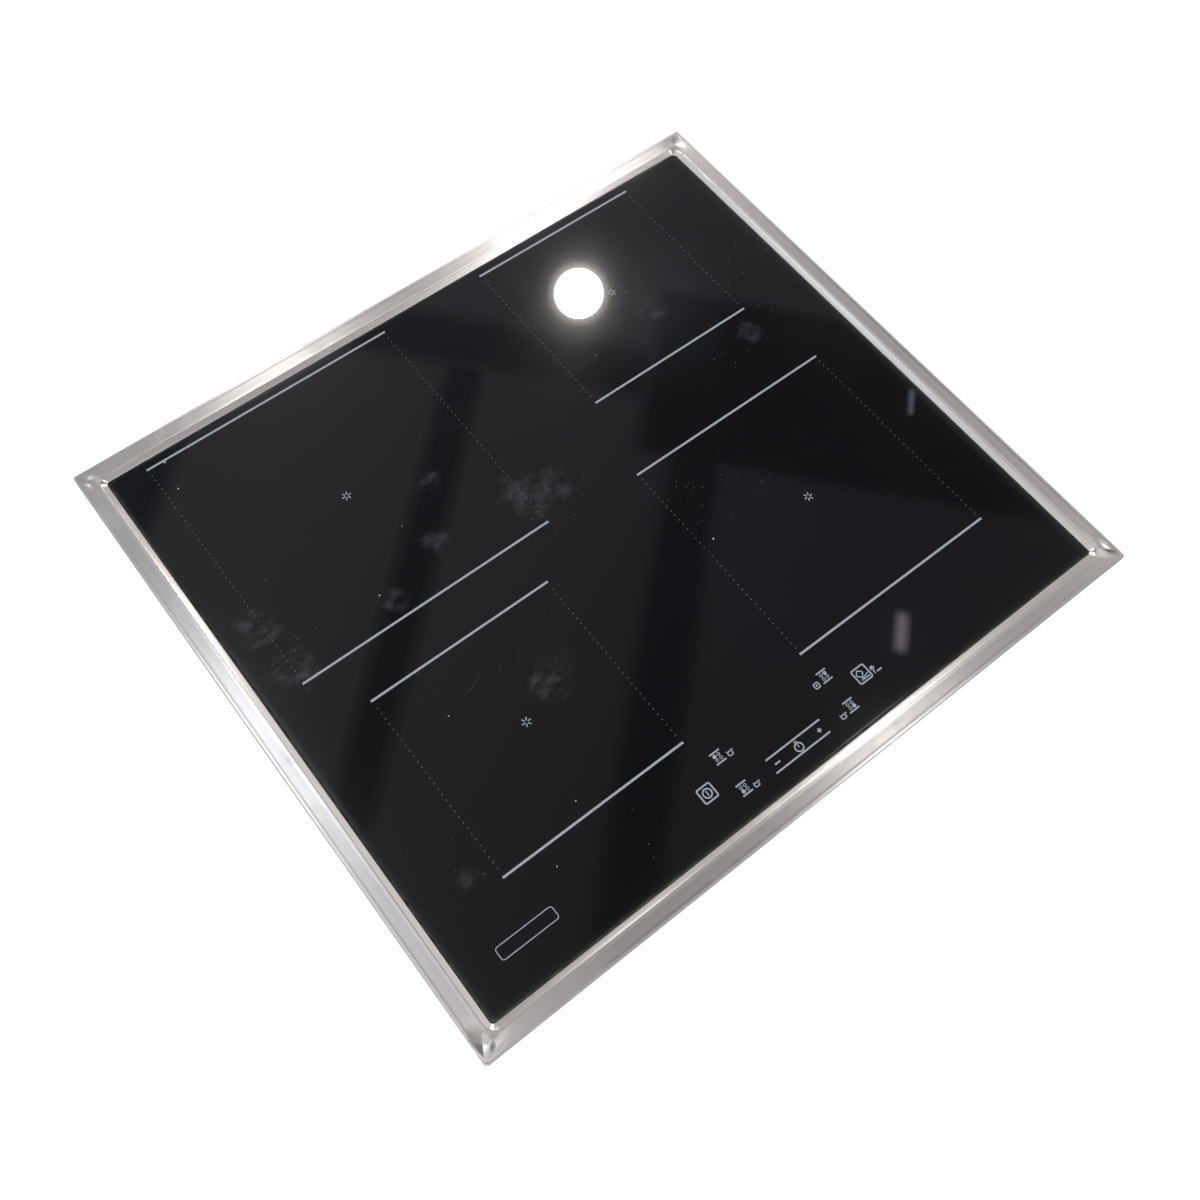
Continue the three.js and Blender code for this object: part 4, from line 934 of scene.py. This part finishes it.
def make_small_signs():
    piece = new_piece("signs_pans")
    pot(-40.4, KEY_ROW + 12.35, 4.6, 3.8)
    pot(-40.4, KEY_ROW - 14.85, 4.6, 3.4)
    pot(39.2, KEY_ROW - 14.95, 4.9, 3.5)
    box_outline(piece, 39.2, KEY_ROW + 12.5, 2.0, 2.0, 0.9, 0.9)
    disc(39.2, KEY_ROW + 12.5, 0.8)
    close_print(piece)


def make_slider():
    """The power slider: two lines, with minus, plus and a stopwatch between them."""
    piece = new_piece("key_slider")
    left, right, middle = -25.5, 23.6, -0.7
    upper, lower = KEY_ROW - 6.55, KEY_ROW - 17.5
    row = KEY_ROW - 12.4
    for y in (upper, lower):
        bar(left, y, right, y, 1.2)
    bar(-22.2, row, -17.6, row, STROKE)
    bar(16.7, row, 20.1, row, STROKE)
    for sign in (-1, 1):
        bar(18.4, row + sign * 0.55, 18.4, row + sign * 1.7, STROKE)
    hoop(piece, middle, row - 0.55, 3.1, 1.0)
    bar(middle - 1.2, row + 3.85, middle + 1.2, row + 3.85, 0.9)
    bar(middle, row + 1.8, middle, row - 0.7)
    close_print(piece)


def make_blank_plate():
    """A plain outline where a maker would put a name."""
    piece = new_piece("blank_name_outline")
    box_outline(piece, -222, -206.6, 22.4, 4.6, 0.6, 2.0)
    close_print(piece)


make_frame()
make_glass_plate()
make_seal()
make_gasket()
for zone in ZONE_NAMES:
    make_zone_marks(zone)
make_power_key()
make_pause_key()
for side in (-1, 1):
    for end in (-1, 1):
        make_zone_key(side, end)
make_small_signs()
make_slider()
make_blank_plate()

# ---- Pieces shaped from the CAD's own solids ----

# The pieces that move, and the body that each rides on
MOVERS = {"fan_rotor_left": "fan_left", "fan_rotor_right": "fan_right", "terminal_cover": "cover"}


def soften(name, title, material, radius=0.3, segments=2):
    """A copy of a CAD solid with its edges rounded as moulding, cutting or casting leaves them."""
    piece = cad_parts[name].copy()
    piece.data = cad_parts[name].data.copy()
    bpy.context.scene.collection.objects.link(piece)
    piece.name = title
    piece.data.name = title
    only(piece)
    bpy.ops.object.mode_set(mode="EDIT")
    bpy.ops.mesh.select_all(action="SELECT")
    bpy.ops.mesh.remove_doubles(threshold=0.002 * MM)
    bpy.ops.mesh.normals_make_consistent(inside=False)
    bpy.ops.mesh.dissolve_limited(angle_limit=math.radians(1))
    bpy.ops.mesh.quads_convert_to_tris(quad_method="BEAUTY", ngon_method="BEAUTY")
    bpy.ops.mesh.tris_convert_to_quads(face_threshold=0.02, shape_threshold=3)
    bpy.ops.object.mode_set(mode="OBJECT")
    sharp = math.radians(32)
    apply(piece, "BEVEL", width=radius * MM, segments=segments, limit_method="ANGLE", angle_limit=sharp,
          use_clamp_overlap=True, miter_outer="MITER_ARC")
    bpy.ops.object.shade_smooth_by_angle(angle=sharp)
    apply(piece, "WEIGHTED_NORMAL", keep_sharp=True)
    return mount(piece, material, name, body=MOVERS.get(name, "hob"))


def make_winding(word):
    """A flat coil of litz wire, wound outwards from the middle."""
    low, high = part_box("winding_" + word)
    middle = (low + high) / 2
    outer = (high.x - low.x) / 2
    inner = 21 * MM
    thick = (high.z - low.z) / 2
    turns = round((outer - inner) / (2.05 * thick))
    pitch = (outer - inner - 2 * thick) / turns
    curve = bpy.data.curves.new("litz_" + word, "CURVE")
    curve.dimensions = "3D"
    line = curve.splines.new("POLY")
    round_once = 44
    steps = round_once * turns + 1
    line.points.add(steps - 1)
    for step in range(steps):
        angle = 2 * math.pi * step / round_once
        reach = inner + thick + pitch * step / round_once
        line.points[step].co = (middle.x + reach * math.cos(angle), middle.y + reach * math.sin(angle),
                                middle.z, 1)
    curve.bevel_depth = thick * 0.985
    curve.bevel_resolution = 2
    curve.use_fill_caps = True
    coil = add_object("litz_" + word, curve)
    only(coil)
    bpy.ops.object.convert(target="MESH")
    bpy.ops.object.mode_set(mode="EDIT")
    close_piece(coil, 60)
    return mount(coil, LITZ, "winding_" + word)


# Each row: the CAD node, the piece, its finish and the radius of its edges in mm
BY_SIDE = (
    ("fan_housing", "fan_frame", BLACK_PLASTIC, 0.4),
    ("fan_rotor", "fan_wheel", BLACK_PLASTIC, 0.25),
    ("coil_plate", "coil_shelf", ALUMINIUM, 0.25),
    ("heat_sink", "finned_sink", ALUMINIUM, 0.2),
    ("power_board", "inverter_board", BOARD, 0.2),
    ("clamp_screw", "clamp_bolt", ZINC, 0.15),
)
BY_CORNER = (
    ("screw_side", "side_screw", ZINC, 0.15),
    ("screw_end", "end_screw", ZINC, 0.15),
    ("worktop_clip", "spring_clip", SPRING, 0.15),
)
BY_ZONE = (
    ("mica_disc", "mica_sheet", MICA, 0.1),
    ("coil_carrier", "coil_tray", BLACK_PLASTIC, 0.3),
    ("coil_spring", "leaf_spring", SPRING, 0.15),
    ("heat_sensor", "probe", WHITE_PLASTIC, 0.3),
)
SINGLE = (
    ("filter_capacitor_front", "film_capacitor_front", YELLOW_FILM, 0.8, 3),
    ("filter_capacitor_rear", "film_capacitor_rear", YELLOW_FILM, 0.8, 3),
    ("bottom_tray", "tray_shell", GALVANISED, 0.35),
    ("control_board", "touch_board", BOARD, 0.2),
    ("control_holder", "touch_board_holder", WHITE_PLASTIC, 0.4),
    ("filter_board", "mains_filter_board", BOARD, 0.2),
    ("mains_choke", "wound_choke", LITZ, 0.4),
    ("terminal_box", "mains_box", BLACK_PLASTIC, 0.45),
    ("terminal_block", "screw_terminals", WHITE_PLASTIC, 0.3),
    ("terminal_cover", "mains_box_lid", BLACK_PLASTIC, 0.35),
    ("cable_clamp", "cord_clamp", BLACK_PLASTIC, 0.5),
    ("cable_bush", "cord_bush", SILICONE, 0.5, 3),
)


def soften_all(rows, place):
    """Rounds each row's piece at one place, whose name ends the names of the node and the piece."""
    for name, title, material, radius in rows:
        soften(name + place, title + place, material, radius)


for side in ("_left", "_right"):
    soften_all(BY_SIDE, side)
    for end in ("_front", "_rear"):
        soften_all(BY_CORNER, end + side)
for zone in ZONE_NAMES:
    make_winding(zone)
    soften_all(BY_ZONE, "_" + zone)
for row in SINGLE:
    soften(*row)


# ---- Studio ----

def make_floor():
    bpy.ops.object.select_all(action="DESELECT")
    bpy.ops.mesh.primitive_plane_add(size=9, location=(0, 0, 0))
    floor = bpy.context.object
    floor.name = "studio_floor"
    material, shader, place = new_material(
        "Pale floor", Roughness=0.85, Ior=1.3, Emission_Color=(1, 1, 1, 1), Emission_Strength=0.25)
    shade = blend(noise(place, 1.5, 2.0), (0.88, 0.88, 0.88), (0.91, 0.91, 0.91))
    wire(shader, base_color=shade)
    tree = material.node_tree
    below = tree.nodes.new("ShaderNodeNewGeometry").outputs["Backfacing"]
    clear = tree.nodes.new("ShaderNodeBsdfTransparent").outputs[0]
    both = node("ShaderNodeMixShader", {0: below, 1: shader.outputs[0], 2: clear})
    tree.links.new(both.outputs[0], tree.nodes["Material Output"].inputs["Surface"])
    floor.data.materials.append(material)
    floor.visible_diffuse = False
    floor.visible_glossy = False


def soft_window(across, along, middle, half, soft):
    """A bright oblong in the sky with soft edges; the sky is measured as slopes from the zenith."""
    def side(value, centre, reach):
        off = maths("ABSOLUTE", minus(value, centre))
        return remap(off, reach - soft, reach + soft, 1, 0)
    return times(side(across, middle[0], half[0]), side(along, middle[1], half[1]))


def make_sky():
    """Soft light all round, with the windows, beams and walls that the steel and the glass mirror."""
    world = bpy.data.worlds.new("Studio")
    bpy.context.scene.world = world
    world.use_nodes = True
    tree = world.node_tree
    Work.tree = tree
    view = tree.nodes.new("ShaderNodeTexCoord").outputs["Generated"]
    way = node("ShaderNodeSeparateXYZ", {0: view}).outputs
    up = maths("MAXIMUM", way[2], 0.03)
    across = maths("DIVIDE", way[0], up)
    along = maths("DIVIDE", way[1], up)
    turn = math.radians(42)
    slant = plus(times(across, math.cos(turn)),
                 times(along, math.sin(turn)))
    aside = minus(times(along, math.cos(turn)),
                  times(across, math.sin(turn)))
    # The ceiling over the glass: paler towards the rear left, crossed by dark beams
    rise = minus(times(along, 1.2), times(across, 0.5))
    ceiling = remap(rise, -0.05, 0.62, 0.20, 0.50)
    purple = remap(across, 0.3, 0.5, 0, 1)
    tint = blend(purple, (0.98, 0.95, 1.04), (1.03, 0.92, 1.08))
    dark = None
    for middle, half, soft, share in CEILING_BEAMS:
        beam = times(soft_window(slant, aside, middle, half, soft), share)
        dark = maths("MAXIMUM", dark, beam) if dark else beam
    ceiling = times(ceiling, minus(1.0, dark))
    tint = blend(dark, tint, (0.74, 0.98, 1.16))
    for middle, half, soft, strength in CEILING_LIGHTS:
        glow = soft_window(slant, aside, middle, half, soft)
        ceiling = plus(ceiling, times(glow, strength))
    # Everything round it
    level = remap(way[2], 0.15, 0.6, 0.9, 0.58)
    front = remap(plus(way[0], way[1]), -0.9, -0.1, 0.9, 0.0)
    walls = plus(level, front)
    for middle, half, soft, strength in SKY_WINDOWS:
        glow = soft_window(across, along, middle, half, soft)
        walls = plus(walls, times(glow, strength))
    cool = soft_window(across, along, (-0.15, 0.40), (0.25, 0.25), 0.1)
    wall_tint = blend(cool, (1.0, 0.97, 0.955), (0.95, 0.975, 1.04))
    over = soft_window(across, along, (0.397, 0.385), (0.335, 0.294), 0.006)
    strength = between(over, walls, ceiling)
    background = tree.nodes["Background"]
    # Below the horizon the studio is an even pale grey, darker where metal mirrors it, and white
    # where the camera sees it past the floor
    rays = tree.nodes.new("ShaderNodeLightPath").outputs
    below = remap(way[2], -0.02, 0, 1, 0.0)
    ground = remap(rays["Is Glossy Ray"], 0, 1, 0.7, 0.22)
    strength = between(below, strength, ground)
    strength = between(rays["Is Camera Ray"], strength, 1.0)
    colour = blend(maths("MAXIMUM", below, rays["Is Camera Ray"]),
                   blend(over, wall_tint, tint), (1, 1, 1))
    tree.links.new(colour, background.inputs["Color"])
    tree.links.new(strength, background.inputs["Strength"])


# (middle, half size, softness, strength) of each window, as slopes from straight up
SKY_WINDOWS = (
    ((0.265, 0.86), (0.050, 0.18), 0.014, 3.8),
    ((0.558, 0.86), (0.043, 0.18), 0.012, 2.8),
    ((0.695, 0.86), (0.024, 0.18), 0.01, 6.0),
    ((0.00, 0.385), (0.070, 0.10), 0.03, 2.5),
    ((0.00, 0.17), (0.070, 0.11), 0.05, 0.5),
    ((0.03, 0.22), (0.034, 0.20), 0.01, 0.45),
    ((-0.40, 0.35), (0.30, 0.60), 0.04, 0.45),
    ((0.77, 0.35), (0.036, 0.35), 0.01, 0.26),
    ((1.25, 0.35), (0.40, 0.45), 0.08, 0.50),
    ((0.463, -0.27), (0.030, 0.354), 0.012, 5.2),
)
# (middle, half size, softness, share taken away) of each beam, along and across the slant
CEILING_BEAMS = (
    ((0.192, 0.170), (0.50, 0.0175), 0.008, 0.66),
    ((0.143, -0.060), (0.50, 0.025), 0.010, 0.62),
    ((0.719, 0.494), (0.028, 0.50), 0.010, 0.55),
    ((0.725, -0.504), (0.095, 0.50), 0.008, 0.66),
    ((0.300, 0.909), (0.50, 0.50), 0.010, 0.70),
)
# The same for the small hard lights
CEILING_LIGHTS = (
    ((0.4935, -0.2605), (0.018, 0.0040), 0.005, 3.6),
    ((0.737, -0.2547), (0.014, 0.0015), 0.003, 2.8),
    ((0.80, 0.02), (0.05, 0.05), 0.05, 0.35),
)


def add_light(name, shape, place, aim, size, power, colour=(1, 1, 1)):
    """A flat light turned towards its aim, and not itself seen by the camera."""
    light = bpy.data.lights.new(name, "AREA")
    light.shape = shape
    light.size = size
    light.energy = power
    light.color = colour
    lamp = add_object(name, light)
    lamp.location = place
    lamp.rotation_euler = (aim - place).to_track_quat("-Z", "Y").to_euler()
    lamp.visible_camera = False


def make_lamp():
    """A round lamp that the glass mirrors over the rear right zone."""
    spot = Vector((114.6, 168.5, 54.9)) * MM
    way = spot - Vector(EYE)
    way.z = -way.z
    place = spot + way.normalized() * 1.6
    # Fainter and wider discs round the lamp stand for the glow of its shade
    for size, power in ((0.100, 1.60), (0.109, 0.16), (0.118, 0.10), (0.129, 0.06)):
        add_light("round_lamp", "DISK", place, spot, size, power, (1.0, 0.95, 0.88))


EYE = (-0.3220, -0.3104, 0.8626)
# The camera's right, up and backward directions
SIGHT = ((0.79421, -0.60701, 0.02773), (0.54076, 0.72686, 0.42338), (-0.27716, -0.32126, 0.90553))


def make_camera():
    data = bpy.data.cameras.new("Camera")
    data.lens = 37.71
    data.shift_x = 0.0527
    data.shift_y = -0.0032
    data.clip_start = 0.01
    camera = add_object("Camera", data)
    turn = Matrix(SIGHT).transposed().to_4x4()
    camera.matrix_world = Matrix.Translation(EYE) @ turn
    bpy.context.scene.camera = camera


make_floor()
make_sky()
make_lamp()
add_light("key_softbox", "SQUARE", Vector((-1.6, -1.9, 2.0)), Vector((0, 0, 0)), 1.6, 55)
make_camera()
bpy.context.scene.view_settings.view_transform = "Standard"
